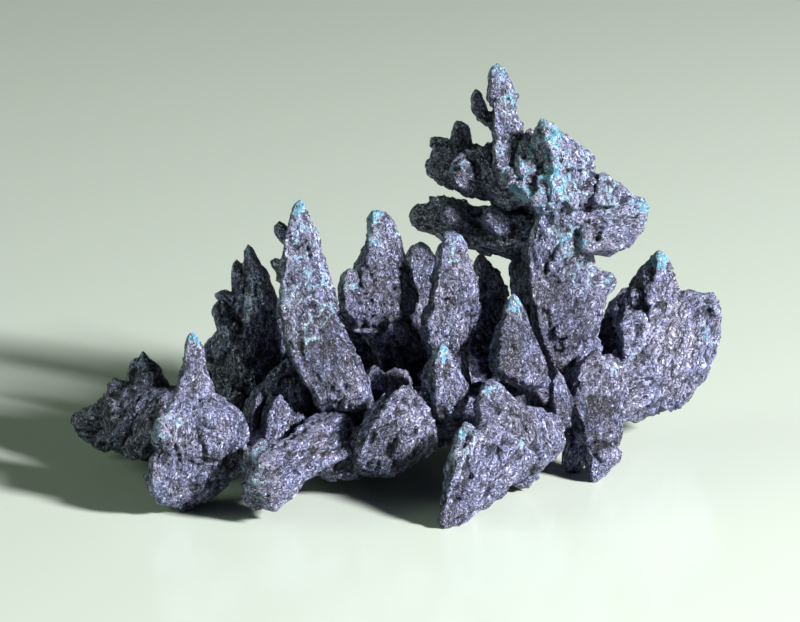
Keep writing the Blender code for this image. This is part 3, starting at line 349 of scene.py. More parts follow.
# a noise is (size in millimetres, detail, roughness), flecks are (size, how steeply they stand),
# and a span is where a value starts and ends counting
skinLook = {
    "flecks": (0.24, 1.9), "grains": (0.15, 1.5),
    "fine": (0.12, 3, 0.6), "fineRise": 0.05,
    "drift": (1 / 1.3, 2, 0.5), "driftReach": 0.9,  # how the pattern wanders from its crystal's line
    "creases": (0.95, 2.5, 0.62), "creaseMiddle": 0.5, "creaseSpan": (0.004, 0.028), "creaseDepth": 0.09,
    "furrows": (0.42, 2, 0.6), "furrowMiddle": 0.47, "furrowSpan": (0, 0.03), "furrowShare": 0.45,
    "pits": (0.20, 2, 0.6), "pitSpan": (0.39, 0.47),
    "fleckWeight": 0.55, "grainWeight": 0.75,  # in what picks a place's tone
    "broad": (2.2, 3, 0.55), "broadSpan": (0.3, 0.7), "broadShade": -0.30,
    # the tones, picked at random for each fleck and grain, are the metal's own spotted colour and also stand
    # in for painted glints and the small shadows of the tilted facets
    "tones": [(0, (0.018, 0.018, 0.027)), (0.25, (0.108, 0.112, 0.163)), (0.55, (0.232, 0.246, 0.375)),
              (0.8, (0.365, 0.38, 0.55)), (1, (0.53, 0.54, 0.69))],
    "tint": (3.4, 3, 0.6), "tintSpan": (0.38, 0.62),  # broad patches are a little bluer or browner
    "cool": (0.95, 1, 1.18, 1), "warm": (1.05, 1, 1, 1),
    # creases, pits and hollows are painted near black as shade, up to this share
    "creaseShadeColor": (0.012, 0.012, 0.016, 1), "hollowShadeColor": (0.012, 0.013, 0.016, 1), "paintedShadeShare": 0.88,
    "metallic": 0.40, "roughness": (0.38, 0.62), "roughSpan": (-0.3, 0.8), "fleckGloss": -0.6,
}
crustLook = {
    "fineWeight": 0.7, "grainWeight": 0.35,
    "paleTones": [(0.2, (0.13, 0.18, 0.25)), (0.5, (0.27, 0.35, 0.46)), (0.8, (0.52, 0.63, 0.76))],
    "tones": [(0.2, (0.03, 0.13, 0.21)), (0.5, (0.09, 0.30, 0.46)), (0.8, (0.27, 0.55, 0.76))],
    "toneSpan": (0.6, 0.95),  # from pale film to full colour
    "patches": (0.4, 3, 0.7), "patchSpan": (0.3, 0.7), "patch": 0.38, "fleckPatch": 0.14,
    "coverSpan": (0.36, 0.72), "inPits": 0.35, "onFlecks": 0.92, "roughness": 0.85,
}


class NodeDesk:
    # a short way to lay out one material's nodes and wires
    def __init__(self, name):
        self.material = bpy.data.materials.new(name)
        self.material.use_nodes = True
        self.tree = self.material.node_tree
        self.shader = self.tree.nodes["Principled BSDF"]

    def add(self, kind, inputs=(), **settings):
        node = self.tree.nodes.new(kind)
        for key, value in settings.items():
            setattr(node, key, value)
        for key, value in dict(inputs).items():
            self.feed(node.inputs[key], value)
        return node

    def feed(self, socket, value):
        if isinstance(value, bpy.types.NodeSocket):
            self.tree.links.new(value, socket)
        else:
            socket.default_value = value

    def finish(self, name, value):
        self.feed(self.shader.inputs[name], value)

    def math(self, kind, a, b=0.0, clamp=False):
        return self.add("ShaderNodeMath", {0: a, 1: b}, operation=kind, use_clamp=clamp).outputs[0]

    def weighted(self, a, weight, b):
        # a * weight + b
        return self.math("ADD", self.math("MULTIPLY", a, weight), b)

    def vector(self, kind, a, b=(0, 0, 0), scale=1.0):
        node = self.add("ShaderNodeVectorMath", {0: a, 1: b, 3: scale}, operation=kind)
        return node.outputs["Value" if kind == "DOT_PRODUCT" else "Vector"]

    def ramp(self, value, stops):
        node = self.add("ShaderNodeValToRGB", {"Fac": value})
        elements = node.color_ramp.elements
        elements[0].position, elements[1].position = stops[0][0], stops[-1][0]
        for position, _ in stops[1:-1]:
            elements.new(position)
        for element, (_, color) in zip(elements, stops):
            element.color = (*color, 1)
        return node.outputs["Color"]

    def mix(self, share, a, b, kind="MIX"):
        node = self.add("ShaderNodeMix", data_type="RGBA", blend_type=kind)
        self.feed(node.inputs["Factor"], share)
        self.feed(node.inputs[6], a)
        self.feed(node.inputs[7], b)
        return node.outputs[2]

    def noise(self, at, kind, output="Fac"):
        size, detail, roughness = kind
        inputs = {"Vector": at, "Scale": 1 / size, "Detail": detail, "Roughness": roughness}
        return self.add("ShaderNodeTexNoise", inputs).outputs[output]

    def attribute(self, name, output="Fac"):
        return self.add("ShaderNodeAttribute", attribute_name=name).outputs[output]

    def spread(self, value, span, toLow=0, toHigh=1):
        inputs = {"Value": value, "From Min": span[0], "From Max": span[1], "To Min": toLow, "To Max": toHigh}
        return self.add("ShaderNodeMapRange", inputs).outputs["Result"]

    def besideMiddle(self, value, middle, span):
        # 0 on the winding line where the value passes its middle, 1 away from it
        return self.spread(self.math("ABSOLUTE", self.math("SUBTRACT", value, middle)), span)


def fleckedLayer(desk, at, size, tilt):
    # small flat flecks, each tilted its own way: (place - fleck's middle) . (its random colour - 0.5) * tilt
    cell = desk.add("ShaderNodeTexVoronoi", {"Vector": at, "Scale": 1 / size}, feature="F1")
    offset = desk.vector("SUBTRACT", at, cell.outputs["Position"])
    lean = desk.vector("SUBTRACT", cell.outputs["Color"], (0.5, 0.5, 0.5))
    height = desk.math("MULTIPLY", desk.vector("DOT_PRODUCT", offset, lean), tilt)
    luck = desk.add("ShaderNodeSeparateColor", {"Color": cell.outputs["Color"]}).outputs[0]
    return height, luck


def acanthiteSkin():
    # grey metal of tilted flecks with cracks and pits, with painted shade darkening the cracks, pits and
    # hollows, and blue-green crust over it
    desk = NodeDesk("acanthite_skin")
    look = skinLook
    place = desk.add("ShaderNodeTexCoord").outputs["Object"]
    at = desk.vector("SCALE", place, scale=1 / mm)
    wander = desk.vector("SUBTRACT", desk.noise(at, look["drift"], "Color"), (0.5, 0.5, 0.5))
    wander = desk.vector("SCALE", wander, scale=look["driftReach"])
    bent = desk.vector("ADD", at, wander)
    grain = desk.attribute("grain", "Vector")
    drawn = desk.vector("ADD", grain, wander)
    fleckHeight, fleckLuck = fleckedLayer(desk, drawn, *look["flecks"])
    grainHeight, grainLuck = fleckedLayer(desk, bent, *look["grains"])
    fine = desk.noise(at, look["fine"])
    # 1 where the surface is whole: away from creases and furrows, and out of the pits between the flecks
    crease = desk.besideMiddle(desk.noise(drawn, look["creases"]), look["creaseMiddle"], look["creaseSpan"])
    furrow = desk.besideMiddle(desk.noise(grain, look["furrows"]), look["furrowMiddle"], look["furrowSpan"])
    pits = desk.spread(desk.noise(drawn, look["pits"]), look["pitSpan"])
    whole = desk.math("MULTIPLY", crease, desk.spread(furrow, (0, 1), look["furrowShare"], 1))
    whole = desk.math("MULTIPLY", whole, pits)
    # colour: a weighted sum of chances picks the tone, patches are tinted, and creases, pits and hollows are
    # darkened as painted shade
    broad = desk.spread(desk.noise(at, look["broad"]), look["broadSpan"], look["broadShade"], 0)
    # the random fleck and grain tones also carry painted glints and facet shadows
    luck = desk.math("MULTIPLY", grainLuck, look["grainWeight"])
    luck = desk.math("ADD", desk.weighted(fleckLuck, look["fleckWeight"], luck), broad)
    # the spots' painted light and shade shifts the tone here
    luck = desk.math("ADD", luck, desk.attribute("painted_light_and_shade"), clamp=True)
    tint = desk.spread(desk.noise(at, look["tint"]), look["tintSpan"])
    tint = desk.mix(tint, look["cool"], look["warm"])
    metal = desk.mix(1, desk.ramp(luck, look["tones"]), tint, "MULTIPLY")
    # painted shade in the creases and pits
    metal = desk.mix(desk.spread(whole, (0, 1), look["paintedShadeShare"], 0), metal, look["creaseShadeColor"])
    # painted shade in the hollows, where the surface dips below its eased shape
    hollow_shade = desk.spread(desk.attribute("hollow_shade"), (0.5, 1), 0, look["paintedShadeShare"])
    metal = desk.mix(hollow_shade, metal, look["hollowShadeColor"])
    powder, covered = crustLayer(desk, bent, fine, fleckLuck, grainLuck, pits)
    desk.finish("Base Color", desk.mix(covered, metal, powder))
    # finish: flecks are glossier than the fine grain, and crust is dull
    rough = desk.weighted(fleckLuck, look["fleckGloss"], fine)
    rough = desk.spread(rough, look["roughSpan"], *look["roughness"])
    dull = desk.math("MULTIPLY", covered, crustLook["roughness"])
    desk.finish("Roughness", desk.math("MAXIMUM", rough, dull))
    desk.finish("Metallic", desk.spread(covered, (0, 1), look["metallic"], 0))
    # relief, in millimetres
    height = desk.math("ADD", fleckHeight, grainHeight)
    height = desk.math("ADD", height, desk.spread(whole, (0, 1), -look["creaseDepth"], 0))
    height = desk.weighted(fine, look["fineRise"], height)
    bump = desk.add("ShaderNodeBump", {"Height": height, "Strength": 1, "Distance": mm})
    desk.finish("Normal", bump.outputs["Normal"])
    return desk.material


def crustLayer(desk, bent, fine, fleckLuck, grainLuck, pits):
    # the crust's colour, and how far it covers: its attribute, broken up by a noise and by the flecks
    look = crustLook
    crust = desk.attribute("crust")
    dust = desk.weighted(fine, look["fineWeight"], desk.math("MULTIPLY", grainLuck, look["grainWeight"]))
    strong = desk.spread(crust, look["toneSpan"])
    powder = desk.mix(strong, desk.ramp(dust, look["paleTones"]), desk.ramp(dust, look["tones"]))
    patch = desk.noise(bent, look["patches"])
    patchy = desk.math("ADD", crust, desk.spread(patch, look["patchSpan"], -look["patch"], look["patch"]))
    patchy = desk.math("ADD", patchy, desk.spread(fleckLuck, (0, 1), -look["fleckPatch"], look["fleckPatch"]))
    held = desk.spread(pits, (0, 1), look["inPits"], look["onFlecks"])
    return powder, desk.math("MULTIPLY", desk.spread(patchy, look["coverSpan"]), held)


skin = acanthiteSkin()
print("materials made")

# sizes are in millimetres, and each seed starts its own noise
relief = {
    "voxel": 0.185,
    "warpSize": 2.8, "warp": 0.40, "warpSeeds": (101, 108, 115),  # how the facets' edges wander
    "swellSize": 5.0, "swell": 0.22, "swellSeed": 11,  # slow swells of the faces
    "blockSize": 3.2, "blockTilt": 0.15, "blockStep": 0.03, "blockSeed": 21,
    "flakeSize": 1.3, "flakeTilt": 0.21, "flakeStep": 0.04, "flakeSeed": 51,
    "crestSize": 1.5, "crest": 0.09, "crestSeed": 31,  # little crests, rounded hollows between
    "chipSize": 0.55, "chipTilt": 0.37, "chipStep": 0.09, "chipSeed": 61,
    "fineSize": 0.36, "fine": 0.07, "fineSeed": 81,
    # a crystal with less half width than slim is weathered less, though its small relief keeps more
    "slim": 1.8, "slimmest": 0.25, "smallKept": 1.5,
    "drawn": 3.2,  # how much longer chips and flecks are along a crystal
    "normalPasses": 3, "smoothing": 0.35,
    "hollowPasses": 24, "hollowDepth": 0.25,
    "spineStep": 0.6,
}
tipless = 99.0  # the way from its tip, for a crystal without one


def ownCrystal(points, crystals):
    # of the crystal whose skin is nearest each point: its half width, its direction, the way from its tip
    best = np.full(len(points), np.inf)
    radius = np.ones(len(points))
    axis = np.zeros_like(points)
    fromTip = np.full(len(points), tipless)
    for rows in crystals.values():
        count = max(2, int(np.abs(np.diff(rows[:, :3], axis=0)).sum() / relief["spineStep"]))
        at = np.linspace(0, len(rows) - 1, count)
        fine = np.stack([np.interp(at, np.arange(len(rows)), rows[:, k]) for k in range(5)], axis=-1)
        spine = placed(fine[:, :3])
        gap = np.sqrt(((points[:, None, :] - spine[None]) ** 2).sum(axis=2)) - fine[:, 3:].mean(axis=1)
        nearest = gap.argmin(axis=1)
        least = gap[np.arange(len(points)), nearest]
        closer = least < best
        best = np.where(closer, least, best)
        direction = spine[-1] - spine[0]
        radius[closer] = fine[nearest[closer], 3]
        axis[closer] = direction / np.linalg.norm(direction)
        tipped = rows[0, 3] == 0 and rows[0, 1] > rows[1, 1]
        fromTip[closer] = np.linalg.norm(points[closer] - spine[0], axis=1) if tipped else tipless
    return radius, axis, fromTip


def brokenUp(points, kind):
    # the chips of this kind, with their own size, tilt, step and seed
    return chipped(points, *(relief[kind + part] for part in ("Size", "Seed", "Tilt", "Step")))


def crested(points, kind, octaves=3):
    # height * (1 - 2 |noise|)
    noise = clouds(points, relief[kind + "Size"], relief[kind + "Seed"], octaves)
    return (0.5 - np.abs(noise)) * relief[kind] * 2


def weathered(points, grain, radius):
    # how far each point stands out: slow swells, blocks, flakes and crests, then chips and fine crests
    drift = np.stack([clouds(points, relief["warpSize"], seed) for seed in relief["warpSeeds"]], axis=-1)
    swell = clouds(points, relief["swellSize"], relief["swellSeed"]) * relief["swell"]
    blocks = brokenUp(points + drift * relief["warp"], "block")
    drawn = grain + drift * relief["warp"]
    slim = np.clip(radius / relief["slim"], relief["slimmest"], 1)
    large = swell + blocks + brokenUp(drawn, "flake") + crested(drawn, "crest")
    small = brokenUp(drawn, "chip") + crested(drawn, "fine", 2)
    return large * slim + small * np.clip(slim * relief["smallKept"], 0, 1)


# the net of crust, and how a crusted spot and a crusted tip fade
crusting = {
    "netSize": 1.7, "netSeed": 41, "netWidth": 0.11,
    "bendSize": 1.2, "bend": 0.5, "bendSeed": 55,
    "spotReach": 1.5, "spotDepth": 3,
    "tipReach": 1.6, "tipSize": 0.7,
    "noiseSize": 1.0, "noise": 0.35, "noiseSeed": 301,
    "net": 0.8, "netMiddle": 0.4, "least": 0.02,
}


def veins(points):
    # a net of lines between neighbouring random spots: exp(-((second - nearest) / width)^2)
    bend = crusting["bend"] * clouds(points, crusting["bendSize"], crusting["bendSeed"])[:, None]
    nearest, second, _, _ = grains(points + bend, crusting["netSize"], crusting["netSeed"])
    return np.exp(-(((second - nearest) / crusting["netWidth"]) ** 2))


def crustCover(points, spots):
    # strength * (reach - distance / radius), at most strength; a spot reaches three times as far in depth
    cover = np.zeros(len(points))
    for across, up, depth, radius, strength in spots:
        away = (points - placed((across, up, depth))) * (1, 1 / crusting["spotDepth"], 1)
        gap = np.linalg.norm(away, axis=1) / radius
        cover = np.maximum(cover, strength * np.clip(crusting["spotReach"] - gap, 0, 1))
    return cover


def crusted(points, name, fromTip):
    # the cover of spots and tips, plus a noise and the net, from 0 to 1; none where no spot or tip reaches
    cover = crustCover(points, crustSpots)
    onTips = np.clip(crusting["tipReach"] - fromTip / crusting["tipSize"], 0, 1)
    cover = np.maximum(cover, crustOnTips.get(name, 0) * onTips)
    noise = crusting["noise"] * clouds(points, crusting["noiseSize"], crusting["noiseSeed"])
    net = crusting["net"] * (veins(points) - crusting["netMiddle"])
    return np.clip(cover + noise + net, 0, 1) * (cover > crusting["least"])


def paintedLightAndShade(points):
    # painted light and shade: the sum of each spot's shift * s^2 (3 - 2 s), where s = 1 - distance / radius,
    # no less than 0
    total = np.zeros(len(points))
    for across, up, depth, radius, shift in paintedLightAndShadeSpots:
        gap = np.linalg.norm(points - placed((across, up, depth)), axis=1)
        total += shift * smoothStep(np.clip(1 - gap / radius, 0, 1))
    return total


def addAttribute(mesh, name, values):
    # one number or one vector for each point
    kind, key = ("FLOAT", "value") if values.ndim == 1 else ("FLOAT_VECTOR", "vector")
    layer = mesh.attributes.new(name, kind, "POINT")
    layer.data.foreach_set(key, values.astype(np.float32).ravel())


def specimenPiece(name, crystals):
    # the group's crystals grown together, weathered along their normals, and given to the frame;
    # a point gets painted shade for a hollow when it lies below the eased surface: 0.5 + dip / depth
    piece = grownTogether(name, crystalMesh(name, crystals), relief["voxel"])
    points, quads = meshArrays(piece.data)
    normals = unitLength(eased(vertexNormals(points, quads), quads, relief["normalPasses"]))
    radius, axis, fromTip = ownCrystal(points, crystals)
    length = (points * axis).sum(axis=1)
    grain = points - axis * (length * (1 - 1 / relief["drawn"]))[:, None]
    points = points + normals * weathered(points, grain, radius)[:, None]
    points = eased(points, quads, 1, relief["smoothing"])
    points[:, 2] = np.maximum(points[:, 2], 0)
    dip = ((eased(points, quads, relief["hollowPasses"]) - points) * normals).sum(axis=1)
    piece.data.vertices.foreach_set("co", (points * mm).astype(np.float32).ravel())
    addAttribute(piece.data, "hollow_shade", np.clip(0.5 + dip / relief["hollowDepth"], 0, 1))
    addAttribute(piece.data, "crust", crusted(points, name, fromTip))
    # the painted light and shade of the spots, kept on each point for the skin
    addAttribute(piece.data, "painted_light_and_shade", paintedLightAndShade(points))
    addAttribute(piece.data, "grain", grain)
    piece.data.shade_smooth()
    piece.data.update()
    piece.data.materials.append(skin)
    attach(piece, "root")
    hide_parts("acanthite_cluster")
    print(name, "made:", len(quads) * 2, "triangles")


# each crystal as its stations from its tip or near end to its root, in millimetres:
# (across, up, depth, half width, half thickness), as stationRows fills them in
ridgeCrystals = {
    "ridge": [(-25, 5.6, 3.4, 2.6, 3), (-21, 5.8, 2, 3, 4.2), (-16.5, 5.6, 2, 2.8, 4.4),
        (-11.5, 5.4, 2, 2.8, 4.6), (-6.5, 5.6, 2, 2.9, 4.6), (-1.5, 6, 2.2, 2.9, 4.4),
        (3, 6.6, 2.4, 2.9, 4.4), (8, 7, 2.6, 2.8, 4.4), (12.5, 7.2, 3.6, 2.8, 4.2), (17, 8, 6.4, 2.8, 3.6),
        (21, 9.3, 9, 2.9, 3.6), (24.5, 11, 12, 3, 3.2)],
    "column": [(16.5, 27.5, 7, 3.4, 3.9), (16, 25, 7, 4), (15.4, 23, 7, 4, 3.9), (15.5, 21, 7, 4.4, 4),
        (15.9, 19, 6.6, 4.6, 4), (16, 17, 6.2, 4.3, 3.9), (16.1, 14.5, 6, 3.6), (16.8, 12, 6.2, 2.7, 3.1),
        (17.7, 9.5, 7, 2.1, 2.8), (18.1, 7.5, 7.4, 2.5, 3.2)],
    "columnPlateHigh": [(19, 24.2, 5.2), (18.2, 23.6, 4.8, 1.2, 0.9), (17, 22.6, 4.5, 1.9, 1.3),
        (15.8, 20.8, 4.4, 1.9, 1.3), (15.2, 19.4, 4.7, 1), (15, 18.8, 5)],
    "columnPlateLow": [(19.6, 18.4, 4.8), (19, 17.8, 4.6, 1.1, 0.9), (18, 16.5, 4, 1.8, 1.3),
        (16.8, 14.6, 3.7, 1.9, 1.4), (16.3, 13.2, 3.8, 1.2, 1.1), (16.2, 12.4, 4.2)],
}

wingCrystals = {
    "wing": [(-32.9, 5.5, 5.5), (-32.5, 5.55, 5.4, 0.9, 0.8), (-31.5, 5.5, 5.1, 1.7, 1.5),
        (-30, 5.6, 4.8, 2.3, 2.2), (-28.8, 5.9, 4.4, 3, 2.8), (-27.4, 6, 4, 3.6, 3.2),
        (-25, 5.7, 3.2, 3.8, 4), (-21.5, 5.8, 2, 3.4, 4.6)],
    "wingSpike": [(-25.7, 13.1, 4.5), (-25.7, 12.5, 4.5, 0.45), (-25.6, 11.7, 4.4, 1, 1.1),
        (-25.5, 10.8, 4.3, 1.55, 1.7), (-25.3, 9.8, 4.1, 2.1, 2.2), (-25, 8.5, 3.9, 2.5, 2.6),
        (-24.8, 6.5, 3.5, 2.7, 3)],
    "wingShoulder": [(-28.6, 10.2, 4.6), (-28.3, 9.7, 4.6, 0.9), (-27.8, 8.6, 4.4, 1.6),
        (-27.2, 7, 4, 2, 2.2)],
    "outerPlate": [(-25.6, 8.6, 2.6), (-26.4, 7.3, 1.6, 1.1, 1.3), (-27.8, 5.4, 1.2, 1.9, 1.8),
        (-29.4, 3.7, 1.8, 1.3), (-30.2, 2.9, 2.2)],
    "innerPlate": [(-23.4, 9.4, 0.8), (-24, 8, 0, 1.2, 1.4), (-25.2, 5.4, -0.8, 2, 2.2),
        (-26.3, 3.2, -0.4, 1.7), (-26.9, 2, 0.2)],
}

leftCrystals = {
    "leftCrystal": [(-20.8, 14.9, -6), (-20.75, 14.4, -6, 0.45), (-20.7, 13.5, -6.1, 0.75, 0.7),
        (-20.6, 12, -6.3, 1.2), (-20.55, 10.5, -6.6, 1.5), (-20.5, 8.8, -7, 1.9),
        (-20.1, 7.8, -7.4, 2.8, 2.6), (-19.7, 6.8, -7.7, 3.8, 3.1), (-19.9, 5.5, -8.1, 4.5, 3.5),
        (-20, 4, -8.5, 4.7, 3.6), (-20, 2.8, -8.7, 4.1, 3.3), (-20.2, 1.6, -8.6, 3, 2.5),
        (-20.2, 0.4, -8.4, 2, 1.8)],
    "leftCrystalFoot": [(-20.9, 3.4, -8.6, 3, 2.6), (-21.3, 2, -9.2, 3.8, 3.3), (-21.5, 0.2, -9.7, 4, 3.6),
        (-21.7, -1.1, -9.9, 3.3, 3), (-21.7, -2.3, -9.9, 1.7, 1.6), (-21.6, -3.2, -9.9)],
    "leftCrystalHeel": [(-17.6, 4.6, -7.4, 1.6), (-17.5, 2.6, -7.6, 2.3, 2.2), (-17.9, 0.8, -7.8, 2.1, 2.2),
        (-18.6, -0.6, -8, 1.5, 1.7), (-19.2, -1.7, -8.2, 0.7, 0.8), (-19.4, -2.2, -8.2)],
    "leftCrystalRoot": [(-20, 4.4, -8, 3, 2.2), (-19.4, 5, -4.6, 3, 2.5), (-18.6, 5.6, -0.6, 3, 2.8)],
    "littleTooth": [(-16.5, 10.3, 0.4), (-16.5, 9.7, 0.4, 0.7), (-16.7, 8.8, 0.2, 1.3, 1.2),
        (-16.7, 7.8, 0, 1.6), (-16.6, 6, 0, 1.9, 2)],
    "fin": [(-11.3, 12.3, -1.5), (-11.3, 11.5, -1.5, 0.7, 1), (-11.4, 10, -1.8, 1.8),
        (-11.1, 8.5, -2.2, 2.3), (-11.2, 7, -2.6, 2.7, 2.5), (-11.5, 5.5, -3.2, 2.5, 2.6),
        (-12, 4, -4, 2.1, 2.6)],
    "finOuter": [(-13, 10.3, -2.6), (-13.9, 9.2, -2.8, 0.6, 1.2), (-14.6, 8, -3.2, 0.9, 1.7),
        (-15, 6.4, -3.6, 0.9, 2), (-15, 4.8, -4, 0.9, 2.2)],
    "finKnob": [(-12, 8.7, -5.2), (-12.1, 8, -5.4, 0.7, 0.8), (-12.05, 6.8, -5.8, 1.3),
        (-12.3, 5.5, -6.2, 1.4, 1.5), (-12.6, 4.2, -6.6, 1.3, 1.6), (-12.8, 3.2, -6.8, 1, 1.6)],
    "finLobe": [(-14.6, -2.7, -13.2), (-13.9, -1.3, -13, 2.2, 1.9), (-12.7, 0.4, -12.2, 2.7, 2.4),
        (-11.2, 1.9, -10.8, 2.3), (-9.3, 3.1, -8.7, 2.2), (-7.2, 4.2, -6, 2.5), (-4.4, 5.4, -2.4, 2.9, 3)],
    "finLobeBase": [(-9.4, 2.4, -6.2), (-8.7, 2.1, -6, 1.2), (-7.2, 1.9, -5.6, 1.9, 1.8),
        (-5.4, 2.1, -5, 2.1), (-3.4, 2.8, -4.4, 2.2, 2.3)],
    "finLobeTip": [(-13.2, 4.1, -9.6), (-13.3, 3.5, -9.9, 1.5, 1.2), (-13.2, 2.5, -10.4, 2.5, 1.8),
        (-13.2, 1, -11, 2.7, 2.1), (-13.6, -0.5, -11.5, 2.4, 2), (-13.9, -1.8, -11.9, 1.8, 1.5),
        (-14, -2.9, -12.2)],
    "finLobeCrest": [(-7.4, 8, -1.8), (-7.3, 7.3, -1.9, 0.9), (-7.2, 6.2, -2.1, 1.6, 1.5),
        (-7, 4.5, -2.4, 2, 1.9), (-6.9, 3, -2.8, 2.1), (-6.9, 1.8, -3, 1.6, 1.8), (-7, 1, -3)],
    "backLeft": [(-15.2, 23.8, 2.5), (-15.1, 23, 2.5, 0.5), (-14.85, 21.8, 2.5, 0.85, 0.9),
        (-14.5, 20.6, 2.5, 1.25, 1.3), (-14.4, 19.4, 2.6, 1.75, 1.7), (-14.6, 18, 2.6, 2.4, 2.3),
        (-14.95, 15.5, 2.8, 3, 2.8), (-15.5, 13.5, 3.2, 4, 3), (-15.4, 11, 3.4, 4.1, 3.2),
        (-15.2, 8, 3, 4.1, 3.8)],
    "backLeftNub": [(-16.3, 22.2, 3), (-16.3, 21.6, 3, 0.5), (-16.2, 20.4, 2.9, 0.7),
        (-15.9, 19, 2.6, 0.9, 1), (-15.4, 17.4, 2.2, 1.2, 1.4)],
    "backLeftKnob": [(-18.6, 18.6, 2.4), (-18.2, 18.6, 2.4, 0.5), (-17.7, 18.6, 2.3, 0.6),
        (-17, 18.2, 2.2, 0.6), (-16, 17.3, 2, 0.9, 1)],
    "backLeftLobe": [(-18, 18.1, 2.2), (-18, 17.5, 2.1, 0.7, 0.8), (-17.8, 16.6, 2, 0.95, 1),
        (-17.2, 15.6, 1.9, 1.1, 1.2), (-16.4, 14.4, 1.8, 1.6)],
}

